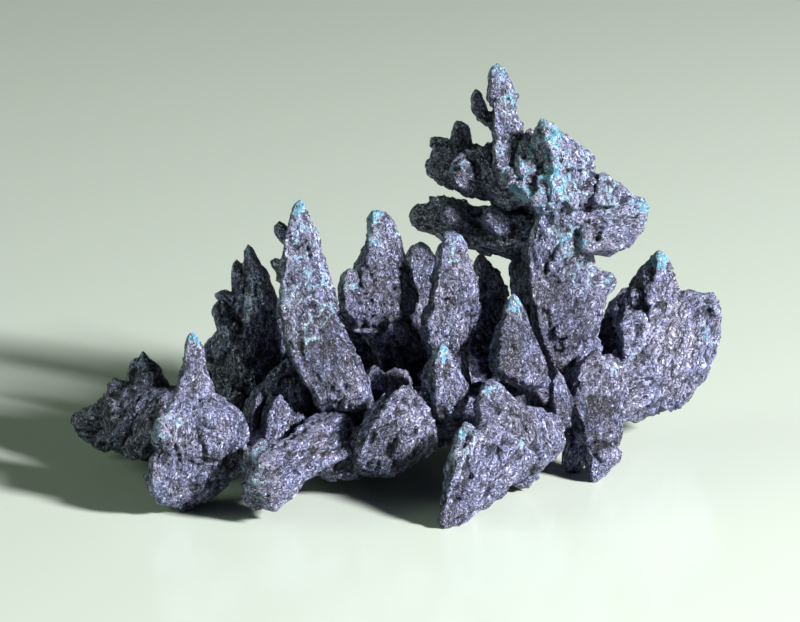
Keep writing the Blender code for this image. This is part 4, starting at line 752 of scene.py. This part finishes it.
middleCrystals = {
    "tallSpike": [(-10, 28.2, -1.5), (-10, 27.5, -1.5, 0.5), (-9.9, 26.4, -1.5, 0.95, 0.9),
        (-9.8, 24.9, -1.6, 1.45, 1.35), (-9.7, 23.2, -1.7, 1.85, 1.8), (-9.7, 21.6, -1.9, 2.05, 2.1),
        (-9.5, 20, -2.1, 2.3, 2.4), (-9.3, 18, -2.5, 2.65, 2.6), (-8.8, 16, -2.9, 2.95, 2.9),
        (-8.2, 14, -3.3, 3.2, 3), (-7.4, 12, -3.6, 3.2, 3), (-6.4, 10, -3.8, 3.2, 3),
        (-5.6, 8.4, -3.5, 3, 2.8), (-5.2, 7, -2.6, 2.8, 2.6), (-5, 5.8, -1.2, 2.4)],
    "tallSpikeRoot": [(-6.6, 11, -2.6, 2.2), (-5.8, 9, -0.8, 2.6), (-5.4, 7.4, 1, 2.8)],
    "tallSpikeKnob": [(-12, 25.9, -0.8), (-12, 25.4, -0.8, 0.6), (-11.8, 24.8, -0.9, 0.75, 0.8),
        (-11.4, 24, -1.1, 0.7, 0.8), (-10.6, 23.2, -1.4, 0.9, 1)],
    "tallSpikeBead": [(-13, 21.9, -0.9), (-12.6, 21.8, -0.9, 0.5), (-12, 21.4, -1.1, 0.6, 0.7),
        (-11.2, 21, -1.4, 0.8, 0.9)],
    "tallSpikeWart": [(-12.4, 20, -1.2), (-12.1, 20.3, -1.2, 0.5), (-11.6, 20.4, -1.4, 0.6, 0.7),
        (-10.8, 20.4, -1.7, 0.8, 0.9)],
    "roundedSpike": [(-2.3, 27.2, 4.2), (-2.2, 26.9, 4.2, 0.8), (-1.9, 26, 4.2, 1.3, 1.2),
        (-1.6, 24.5, 4.2, 1.85, 1.6), (-1.7, 23, 4.1, 2.1, 1.9), (-1.7, 21.5, 4, 2.5, 2.2),
        (-1.7, 20, 3.8, 3, 2.6), (-1.8, 18.5, 3.6, 3.3, 2.9), (-1.9, 17, 3.4, 3.2, 2.9),
        (-2, 15.8, 3.4, 2.6, 2.5), (-2.2, 15, 3.6, 1.5, 1.6), (-1.6, 13.4, 4.8, 1.5, 2),
        (-0.8, 11, 5.6, 2.2, 3)],
    "roundedSpikeShoulder": [(-5, 21.3, 2.4), (-5.05, 20.7, 2.3, 0.7), (-4.95, 19.5, 2.1, 1.3, 1.2),
        (-4.7, 18.2, 1.9, 1.8, 1.5), (-4.3, 17, 1.8, 2, 1.7), (-3.8, 16, 2, 1.8, 1.6),
        (-3.4, 15.2, 2.5, 1.1, 1.2), (-3.2, 14.7, 3)],
    "roundedSpikeDrop": [(-0.3, 16.4, 2.6), (-0.3, 15.6, 2.4, 1), (-0.3, 14.6, 2.3, 1.4, 1.3),
        (-0.4, 13.8, 2.5, 1), (-0.4, 13.3, 2.9)],
    "rubbleLeft": [(-2.6, 11.6, -0.4), (-2.6, 11.1, -0.5, 0.7), (-2.5, 10.2, -0.8, 1.2, 1.1),
        (-2.5, 9, -0.8, 1.5)],
    "rubbleRight": [(-0.1, 11.3, 0), (-0.1, 10.8, -0.1, 1, 0.9), (-0.2, 10, -0.4, 1.5, 1.2),
        (-0.2, 8.8, -0.6, 1.7, 1.6)],
    "backWall": [(-9.5, 10.8, 4, 3, 2.8), (-4.5, 12.2, 6, 3.2, 2.8), (0.5, 12.5, 7.4, 3.2, 2.8),
        (5.5, 12, 9.2, 3, 2.8), (11, 11.8, 9.6, 3.2, 3), (14.5, 11.8, 8.4, 3)],
    "gapSpike": [(2, 23.9, 9.5), (2, 23.4, 9.5, 0.85, 0.9), (2.1, 22.4, 9.4, 1.3), (2.2, 20.5, 9, 1.4, 1.6),
        (2.1, 17, 8.4, 1.8, 2.2), (2, 12, 7, 2.6, 3.2)],
    "straightSpike": [(5.3, 24.9, 1.5), (5.3, 24.5, 1.5, 0.85, 0.8), (5.4, 23.7, 1.5, 1.3, 1.2),
        (5.4, 22.2, 1.4, 1.7, 1.6), (5.4, 20.5, 1.2, 2.1, 1.9), (5.3, 18.8, 1, 2.4, 2.2),
        (5.15, 17, 0.8, 2.65, 2.4), (4.85, 15.2, 0.5, 2.85, 2.6), (4.7, 13.7, 0.3, 2.6, 2.4),
        (4.7, 12.6, 0.4, 1.8, 2), (5, 11, 1.4, 1.9, 2.4), (5.2, 8.5, 2.4, 2.6, 3)],
    "shadowSpike": [(7.9, 22.6, 8.4), (8.2, 21.8, 8.4, 0.9), (8.7, 20.4, 8.8, 1.5), (8.9, 18, 9.4, 1.9, 2),
        (9, 14.5, 10, 2.3, 2.4), (9.2, 10.5, 9.6, 2.8, 3)],
    "litSpike": [(11.4, 18.8, -0.4), (11.4, 18.2, -0.4, 0.5), (11.45, 16.8, -0.6, 1.2, 1.1),
        (11.5, 15, -0.9, 1.95, 1.7), (11.6, 13, -1.3, 2.6, 2.1), (11.8, 11.3, -1.6, 2.95, 2.4),
        (12.2, 10.3, -1.7, 2.5, 2.2), (12.9, 9.6, -1.6, 1.5), (13.2, 9.2, -1.4)],
    "litSpikeRoot": [(11.8, 12.2, 0.6, 1.6), (12.4, 10.2, 2.6, 2), (12.8, 8, 4, 2.6)],
    "frontSpike": [(4.2, 13.7, -5), (4.2, 13.1, -5, 0.5), (4.15, 11.8, -5, 1.25, 1.2),
        (4.35, 10.5, -4.9, 1.85, 1.6), (4.6, 9.3, -4.8, 2.4, 2), (4.7, 8.2, -4.5, 2.4, 2.1),
        (4.5, 7.2, -4.2, 1.8, 1.9), (4.3, 6.4, -3.9, 1.2, 1.5), (4.3, 5.8, -3.6)],
    "frontSpikeRoot": [(5, 8.4, -3, 2), (5, 7.6, -1, 2.2), (5, 7.2, 1, 2.4)],
    "frontMiddle": [(0.4, 9.7, -7), (0.4, 9.2, -7, 0.7), (0.2, 8.3, -7, 1.7, 1.5), (0.2, 7.3, -7, 2.5, 2),
        (-0.2, 6.2, -7, 3.2, 2.4), (-0.7, 4.8, -6.9, 4, 2.8), (-0.9, 3.4, -6.6, 4.4, 2.9),
        (-1.5, 2.2, -6.2, 3.9, 2.7), (-2.2, 1.2, -5.8, 3, 2.1), (-2.8, 0.2, -5.5)],
    "frontMiddleTwin": [(-1.6, 8.9, -6.6), (-1.6, 8.3, -6.6, 0.6), (-1.7, 7.2, -6.5, 1.3),
        (-2, 5.8, -6.3, 1.8), (-2.4, 4.4, -6, 2.1, 2.2)],
    "frontMiddleRoot": [(-0.8, 5, -5, 2.8, 2.4), (-0.6, 5.4, -2.6, 2.8, 2.6), (-0.4, 6, 0, 2.8)],
}

rightCrystals = {
    "rightBlock": [(9, 10.2, -5.4), (9.2, 9.5, -5.4, 0.75, 0.7), (9.5, 8.5, -5.5, 1.7, 1.5),
        (10.2, 7.3, -5.7, 2.8, 2.2), (11.5, 6.2, -5.8, 4.2, 2.8), (12.1, 5, -5.9, 4.5, 3.1),
        (12.2, 3.5, -5.7, 4.2, 3.2), (12, 2.2, -5.4, 3.5, 2.9), (11.8, 1, -5.1, 2.4, 2.2),
        (12, 0, -4.9, 1.3, 1.4), (12.3, -0.9, -4.7)],
    "rightBlockRoot": [(13, 4.4, -4, 2.8, 2.4), (13.6, 4.8, -1.4, 2.6), (14.2, 5.6, 1.6, 2.8)],
    "frontArm": [(4.5, -4.9, -14.6), (5.1, -3.8, -13.9, 1.3), (6.2, -2, -12.5, 2, 1.9),
        (7.7, 0.3, -10.6, 2.7, 2.5), (9.4, 2.4, -8.6, 3.2, 2.9), (11.4, 4.2, -6.6, 3.2)],
    "frontArmTip": [(6.5, 5.9, -9.5), (6.5, 5.3, -9.6, 0.65, 0.7), (6.7, 4, -10, 1.5, 1.4),
        (7, 2.5, -10.6, 2, 1.8), (6.7, 0.5, -11.4, 2.1, 1.9), (6.2, -1.5, -12.4, 2, 1.8),
        (5.4, -3.2, -13.5, 1.6, 1.5), (4.8, -4.2, -14.2, 1.1), (4.6, -5, -14.7)],
    "darkKnob": [(17.5, 4.6, 1.6), (17.5, 4, 1.6, 1), (17.5, 3, 1.6, 1.4), (17.4, 1.9, 1.5, 1.3),
        (17.3, 1.1, 1.4, 0.8, 0.9), (17.2, 0.6, 1.3)],
    "darkKnobRoot": [(17.5, 3.4, 1.8, 0.9), (17.3, 4.8, 2.8, 1.3, 1.4), (17.2, 6.6, 4, 2, 2.4)],
    "littleSpike": [(15.8, 11.1, -1), (15.85, 10.3, -1, 0.5, 0.55), (16, 9.2, -1, 0.95, 1),
        (16.15, 8, -1, 1.15, 1.2), (16.3, 6.8, -0.7, 1.15, 1.3), (16.4, 5.4, 0.6, 1.3, 2)],
    "cornerCrystal": [(20, 12.5, 3), (19.9, 12.3, 3, 0.9, 1), (19.7, 11.7, 3, 2.1, 1.7),
        (19.5, 10.5, 2.7, 2.9, 2.4), (19.4, 9, 2.3, 3.15, 2.8), (19.4, 7.5, 1.7, 3.2, 3),
        (19.6, 6, 0.9, 2.9, 2.6), (19.9, 4.8, 0.3, 2.4, 2.1), (20.1, 3.5, -0.2, 1.7, 1.6),
        (20, 2, -0.7, 1.6, 1.4), (19.8, 1, -1, 1.1, 1), (19.5, 0.2, -1.3, 0.6), (19.4, -0.5, -1.6)],
    "cornerRoot": [(19.6, 8, 3.5, 2.2, 2.6), (19.2, 8.4, 5.8, 2.6, 2.8), (18.4, 8.6, 8, 3)],
}

lobeCrystals = {
    "lobeSpike": [(25.8, 23.1, 13.2), (25.8, 22.6, 13.2, 0.7, 0.8), (25.8, 21.5, 13.1, 1.15, 1.3),
        (25.7, 20.5, 13, 1.6, 1.7), (25.4, 19.3, 12.9, 2.3, 2.1), (25.4, 18, 12.8, 3.2, 2.3),
        (25.6, 16.5, 12.9, 3.8, 2.4), (25.8, 15, 13, 3.6, 2.4)],
    "lobe": [(28.4, 18.7, 13.8, 3.2, 1.2), (27, 18, 13.6, 4.8, 2), (26.7, 16.3, 13.2, 5.3, 2.9),
        (26.8, 14.5, 12.6, 5.2, 3.6), (26.8, 13, 12.2, 5, 3.9), (26.5, 11.5, 11.8, 4.8, 4),
        (26.3, 10.2, 11.4, 4.3, 3.8), (25.6, 9, 11.1, 3.7, 3.3), (25.2, 7.9, 10.9, 3, 2.7),
        (24.2, 6.8, 10.6, 1.9), (23.5, 5.9, 10.4)],
    "lobeDrip": [(27.5, 6.8, 11.6), (27.5, 7.4, 11.6, 0.8), (27.4, 8.6, 11.8, 1.3),
        (27.2, 10, 12, 1.6, 1.8)],
    "lobeShoulder": [(20.4, 16.7, 13.2), (21.2, 17.1, 13, 0.8, 1), (22.6, 17.6, 12.8, 1.3, 1.7),
        (24.6, 18, 12.9, 1.6, 2)],
    "lobeWall": [(24.2, 16, 16.8, 2), (21.6, 14.4, 15.8, 2.6, 2.4), (18.6, 13.4, 12.4, 3),
        (16.8, 12.8, 8.6, 3)],
    "lobeRoot": [(25.6, 11.2, 12.4, 3.8, 3), (22.6, 9.4, 9, 3.4), (19.5, 8.4, 5, 3.2, 3.4)],
}

towerCrystals = {
    "spire": [(9.75, 41.7, 7), (9.75, 41.2, 7, 0.7), (9.8, 40, 7, 1, 0.95), (10.05, 39, 7, 1.3, 1.2),
        (10.35, 38.4, 7, 1.6, 1.4), (10.25, 37.6, 6.9, 1.4), (10.5, 36.2, 6.8, 1.6),
        (10.7, 34.8, 6.6, 1.7, 1.9), (11, 33, 6.4, 1.9, 2.3), (11.4, 31.5, 6.2, 2.2, 2.6),
        (12.2, 30, 6.4, 2.5, 2.8), (14, 27.5, 7, 3, 3.2)],
    "spireNub": [(7.6, 39.2, 8.2), (7.7, 38.7, 8.2, 0.5), (7.85, 37.8, 8.1, 0.85, 0.8),
        (8, 36.9, 8, 0.85, 0.8), (8.6, 36.1, 7.8, 0.75, 0.8), (9.6, 35.4, 7.4, 0.9)],
    "crownSpike": [(14.1, 36.3, 3.2), (14.5, 35.6, 3.2, 0.85, 0.8), (14.8, 34.7, 3.4, 1.45, 1.3),
        (15.2, 33.7, 3.8, 2.25, 1.9), (15.7, 32.5, 4.3, 3.1, 2.5), (15.9, 31.3, 4.8, 3.7, 3),
        (15.6, 30, 5.2, 4.3, 3.4), (15.7, 28.5, 5.6, 4.4, 3.7), (15.9, 27.2, 6.2, 4, 3.8),
        (16.2, 25.8, 6.8, 3.8)],
    "crownWeb": [(13, 35.2, 6), (13, 34.4, 6, 0.8, 0.9), (13.3, 32.6, 6.2, 1.7, 1.8),
        (13.7, 30, 6.8, 2.6, 2.8)],
    "crownShelf": [(10.1, 31.1, 4.6), (10.8, 30.7, 4.4, 1.1), (12, 30, 4.2, 1.9, 1.7),
        (13.6, 29.2, 4.2, 2.5, 2), (15.6, 28.7, 4.4, 2.9, 2.2), (17.8, 28.9, 5, 2.7, 2.4),
        (19.3, 29.2, 5.8, 1.8)],
    "crownFace": [(12.6, 34.6, 5.6), (12.8, 33.8, 5.2, 1, 0.9), (13, 32.4, 4.8, 1.8, 1.5),
        (13.4, 31, 4.4, 2.4, 1.9), (13.8, 29.4, 4.4, 2.6, 2.1), (14.2, 27.6, 5, 2.4, 2.2)],
    "rightArm": [(24.9, 27.3, 4.4), (24.5, 27.2, 4.5, 0.9), (24, 27, 4.7, 1.6, 1.4), (23, 26.65, 5, 2.6, 2),
        (22, 26.35, 5.3, 3.4, 2.5), (21, 26.5, 5.6, 3.9, 2.9), (20, 26.7, 6, 4.1, 3.3),
        (18, 26.6, 6.6, 4, 3.7)],
    "rightArmPoint": [(20.1, 30.9, 5), (20.3, 30.3, 5, 0.7, 0.8), (20.7, 29, 5.2, 1.5),
        (20.7, 27.5, 5.4, 2.2, 2.4)],
    "columnBump": [(21.8, 19.8, 7.4), (21.3, 19.9, 7.4, 0.9), (20.2, 19.8, 7.3, 1.6),
        (18.4, 19.6, 7.2, 2.2), (16.5, 19.2, 7, 2.6, 2.8)],
    "upperLeftArm": [(2.3, 31.6, 12.4), (2.8, 31.6, 12.2, 1), (3.8, 31.6, 11.6, 1.8, 1.6),
        (5.2, 31.5, 10.8, 2.3, 2.1), (7, 31.1, 9.8, 2.6, 2.4), (9, 30.6, 8.6, 2.8, 2.6),
        (11.5, 29.6, 7.4, 3)],
    "upperLeftKnob": [(5.9, 35.9, 10.6), (6.1, 35.4, 10.6, 0.75, 0.8), (6.2, 34.2, 10.5, 0.95, 1.1),
        (6.3, 32.8, 10.4, 1.2, 1.5), (6.3, 31.4, 10.2, 1.6, 1.9)],
    "upperLeftPoint": [(2.9, 34.4, 12), (3.2, 34, 12, 0.6), (4.2, 33.4, 11.6, 1.1),
        (5.2, 32.6, 11, 1.5, 1.6)],
    "lowerLeftArm": [(0.8, 26.7, 14), (1.5, 26.65, 13.7, 1), (2.5, 26.45, 13, 1.6, 1.5),
        (3.7, 26.35, 12.2, 2, 1.8), (5, 26, 11.2, 2.3, 2), (7, 25.4, 9.6, 2, 2.2), (9, 25.1, 8.4, 2.2, 2.5),
        (11, 24.9, 7.6, 2.4, 2.8), (14, 24.6, 7.2, 2.8, 3.2)],
    "lowerLeftKnob": [(5.2, 28.3, 8.8), (5.2, 27.8, 8.4, 0.8), (5.3, 26.8, 7.9, 1.3, 1.2),
        (5.6, 25.8, 8, 1.3), (6.4, 25, 8.8, 1, 1.2)],
    "lowerLeftLump": [(9, 27.6, 6.4), (9.2, 27, 6, 0.9), (9.6, 26, 5.8, 1.4, 1.3),
        (10.2, 24.9, 6, 1.5, 1.4), (11, 23.9, 6.6, 1.1, 1.2)],
    "upperLeftLump": [(5.6, 32.6, 6.8), (5.7, 32, 6.4, 1, 0.9), (6, 31, 6, 1.6, 1.4),
        (6.6, 30.1, 6.2, 1.6, 1.5), (7.6, 29.4, 7.2, 1.3, 1.4), (8.8, 29.2, 8.2, 1.2, 1.4)],
    "upperLeftRidge": [(8.8, 34, 7.4), (8.7, 33.2, 7.2, 0.8), (8.6, 31.8, 7, 1.3), (8.9, 30.2, 7, 1.6),
        (10, 28.8, 7, 1.4, 1.6)],
}

backCrystals = {
    "backFootLeft": [(-9, 3.4, 10.4), (-9, 4.3, 9.8, 1.5), (-9, 5.6, 7.6, 2.4), (-9, 7.2, 4, 3.2, 3)],
    "backFootRight": [(13.2, 4.4, 13.4), (13.2, 5.2, 12.6, 1.5), (13.4, 6.6, 9.6, 2.4), (14, 8.2, 6, 3)],
    "backSpikeFarLeft": [(-20.5, 8.8, 10.8), (-20.4, 8.4, 9.6, 1.1, 1.2), (-20, 7.6, 7, 2),
        (-19.4, 6.8, 3, 2.8, 3)],
    "backSpikeLeft": [(-13.4, 15, 12.4), (-13.5, 14, 11.2, 1.2), (-13.6, 12, 8.4, 2.2), (-13.6, 9, 4, 3.2)],
    "backSpikeMiddle": [(-5.6, 14.2, 12), (-5.5, 13.2, 11, 1.2), (-5.2, 11.6, 8.6, 2.2), (-4.8, 9, 4.6, 3)],
    "backSpikeRight": [(4.4, 16.4, 14.4), (4.4, 15.4, 13.2, 1.2), (4.2, 13.2, 10.2, 2.2), (4, 10, 5.6, 3)],
    "backToothLow": [(1.6, 7.4, 13), (1.6, 7.4, 11.6, 1.3), (1.5, 7.8, 8.8, 2.2), (1.4, 8.2, 5, 2.8)],
    "backSpikeColumn": [(18.4, 16.2, 15), (18.2, 15.4, 13.8, 1.2), (17.6, 13.4, 10.8, 2.2),
        (17, 10.4, 6.6, 3)],
    "backBulgeLeft": [(-20.4, 7.4, 6, 1.8), (-16.4, 8.6, 7.4, 3, 2.8), (-12, 8.8, 7.6, 2.8, 2.6),
        (-8.2, 8.2, 6.4, 2, 2.2)],
    "backBulgeMiddle": [(-4.4, 9, 6.8, 1.8, 2), (-0.4, 10.2, 8.4, 2.8), (4, 10.4, 9.2, 2.8, 2.6),
        (8.4, 9.8, 9, 2)],
    "backSpikeTall": [(-9.4, 20, 7.4), (-9.3, 18.8, 7, 0.9), (-9.2, 16, 6, 1.8), (-9.5, 12, 4.6, 2.6)],
    "backSpikeRounded": [(-1.8, 22, 10.4), (-1.8, 20.6, 9.8, 1), (-1.9, 18, 8.4, 1.9), (-2, 14, 6.4, 2.6)],
    "columnBackTooth": [(16.6, 20.2, 13.6), (16.5, 19.6, 12.4, 1.2), (16.3, 18.4, 10, 2.2, 2)],
    "lobeBackTooth": [(27, 16.4, 18.2), (26.8, 15.9, 17, 1.1, 1), (26.5, 15, 15, 2.2, 1.6)],
    "underToothLeft": [(-14, 2.8, 4), (-14, 3.6, 4, 1.2), (-14, 5.4, 3.6, 2.2)],
    "underToothMiddle": [(-0.4, 3.4, 3.6), (-0.4, 4.2, 3.6, 1.2), (-0.4, 6, 3.2, 2.2)],
    "towerBackSpike": [(16.8, 31.4, 14.6), (16.6, 30.6, 13.6, 1), (16.2, 29, 11.2, 2), (15.8, 27, 8, 2.8)],
    "towerBackTooth": [(12.4, 27.4, 13.4), (12.6, 27, 12.4, 1), (13.2, 26.4, 10.2, 1.8),
        (14.2, 25.4, 7.6, 2.4)],
}

groups = {
    "ridge_and_column": ridgeCrystals,
    "left_wing": wingCrystals,
    "left_front": leftCrystals,
    "middle_spikes": middleCrystals,
    "right_front": rightCrystals,
    "right_lobe": lobeCrystals,
    "tower": towerCrystals,
    "back_spikes": backCrystals,
}
seeds = {key: seed for seed, key in enumerate(key for group in groups.values() for key in group)}

# crusted spots: (across, up, depth, radius, strength)
crustSpots = [
    (-10, 27.7, -2.2, 1.4, 1.1), (-8.5, 19.7, -4.5, 1.6, 0.54), (-7.5, 17, -5, 1.3, 0.48),
    (-11.5, 18.5, -4, 1, 0.46), (-9.3, 14.8, -5.5, 1.3, 0.35), (-9.8, 25, -3, 1.6, 0.5),
    (-10.3, 22.2, -3.8, 1, 0.45), (-2.6, 26.7, 3.4, 0.9, 1), (-2.6, 24.2, 2.4, 0.8, 0.8),
    (-0.5, 25.5, 3.4, 1, 0.4), (-5, 20, 1.4, 1, 0.5), (0.5, 20.5, 2.6, 1, 0.3), (5.5, 23.5, 0.6, 1.5, 0.5),
    (4.2, 13, -5.6, 1.2, 0.9), (11.4, 18, -1, 1.4, 0.75), (10, 16.5, -1.5, 1, 0.4),
    (-20.8, 14.5, -6.3, 1.1, 0.95), (-24.5, 5, -10, 1.3, 0.6), (-22.3, 6.3, -10.8, 1, 0.45),
    (-15, 0.2, -12.5, 1.8, 0.35), (-14.5, 3, -11.5, 0.9, 0.5), (9, 9.5, -6.2, 1.1, 0.55),
    (11.7, 3.5, -9, 0.7, 0.5), (6.5, 5, -10.5, 1, 0.7), (5.5, 2.5, -12, 1.3, 0.4),
    (25.8, 22.5, 13, 1.3, 1.05), (31.3, 18, 12.5, 0.9, 0.5), (30.9, 14, 9.6, 1.2, 0.55),
    (24.5, 16.5, 10.5, 1.2, 0.3), (22.5, 13.5, 10, 1.2, 0.3), (22, 11.5, 1.5, 1, 0.45),
    (14.1, 36, 2.6, 1.2, 1.1), (15.4, 34.5, 2, 1.2, 0.95), (21.5, 28, 3.5, 2.2, 0.42),
    (14.5, 29.5, 2, 4.2, 0.64), (18, 31.5, 3, 1.6, 0.5), (24.5, 27.5, 3.5, 1.3, 0.7),
    (24.6, 25.8, 3.5, 0.9, 0.45), (20.2, 30.5, 4, 0.9, 0.6), (17.5, 24, 2.8, 1.8, 0.62),
    (18.3, 20.5, 2.6, 1.8, 0.45), (20.7, 20, 5.5, 1, 0.4), (3, 34, 11, 0.8, 0.5),
    (5.8, 35.4, 9.6, 0.8, 0.5), (5, 30.5, 5, 1.2, 0.45), (2, 27.3, 12.5, 1, 0.4), (5.8, 32, 5, 0.8, 0.4),
    (9.8, 41.3, 6.3, 1.2, 0.9), (10.9, 37.7, 5.6, 0.9, 0.8), (9.6, 33, 4.6, 1.2, 0.5),
    (10.6, 31.4, 4, 1.2, 0.5), (-26, 12.8, 4, 0.9, 0.7), (-15.2, 23.4, 2, 0.8, 0.6),
    (-16.5, 22, 2.5, 0.6, 0.4), (-18.2, 18.8, 2, 0.6, 0.5),
]

# how strongly a group's own tips are crusted
crustOnTips = {"back_spikes": 0.55}

# painted shade on faces that stand in shadow and painted light on lit faces: (across, up, depth, radius,
# shift, below 0 darker and above 0 brighter)
paintedLightAndShadeSpots = [
    (-8, 14, -4, 7.5, -0.39), (11.5, 13.5, -2.5, 5, -0.24), (5, 17.5, 0, 5.5, -0.13),
    (-1.5, 18.5, 2, 5.5, -0.19), (16, 14, 3, 4.5, -0.18), (16, 19.5, 3, 5.5, -0.18), (-1, 3, -8, 4, -0.2),
    (-25.5, 8, 2, 7, -0.22), (-14.8, 18, 0, 3.5, 0.3), (-14, 10.5, 0, 4.5, -0.25), (27, 13.5, 10, 8, 0.22),
    (22.5, 26.5, 3, 4, 0.22), (16, 31, 2.5, 5, 0.16), (5, 29, 8, 7, -0.2), (-16.8, 0.5, -10, 3.6, -0.28),
    (-6.2, 2, -6.5, 4.5, -0.26), (-7.5, 6.5, -4.5, 3.6, -0.26), (8.8, 14, 5, 4, -0.3),
    (9.5, 2.5, -10.5, 4.5, 0.08), (-20.5, 6, -10.5, 5.5, 0.16), (-9.6, 24, -3, 4.5, 0.1),
    (20.2, 6.5, -1, 5.5, -0.26), (17.6, 8.5, 0, 2.6, -0.25), (11.6, 21.5, 5, 3.2, -0.5),
    (6.5, 31, 6, 3.5, -0.25),
]

for groupName, crystals in groups.items():
    specimenPiece(groupName, {key: stationRows(stations) for key, stations in crystals.items()})

bpy.context.view_layer.update()
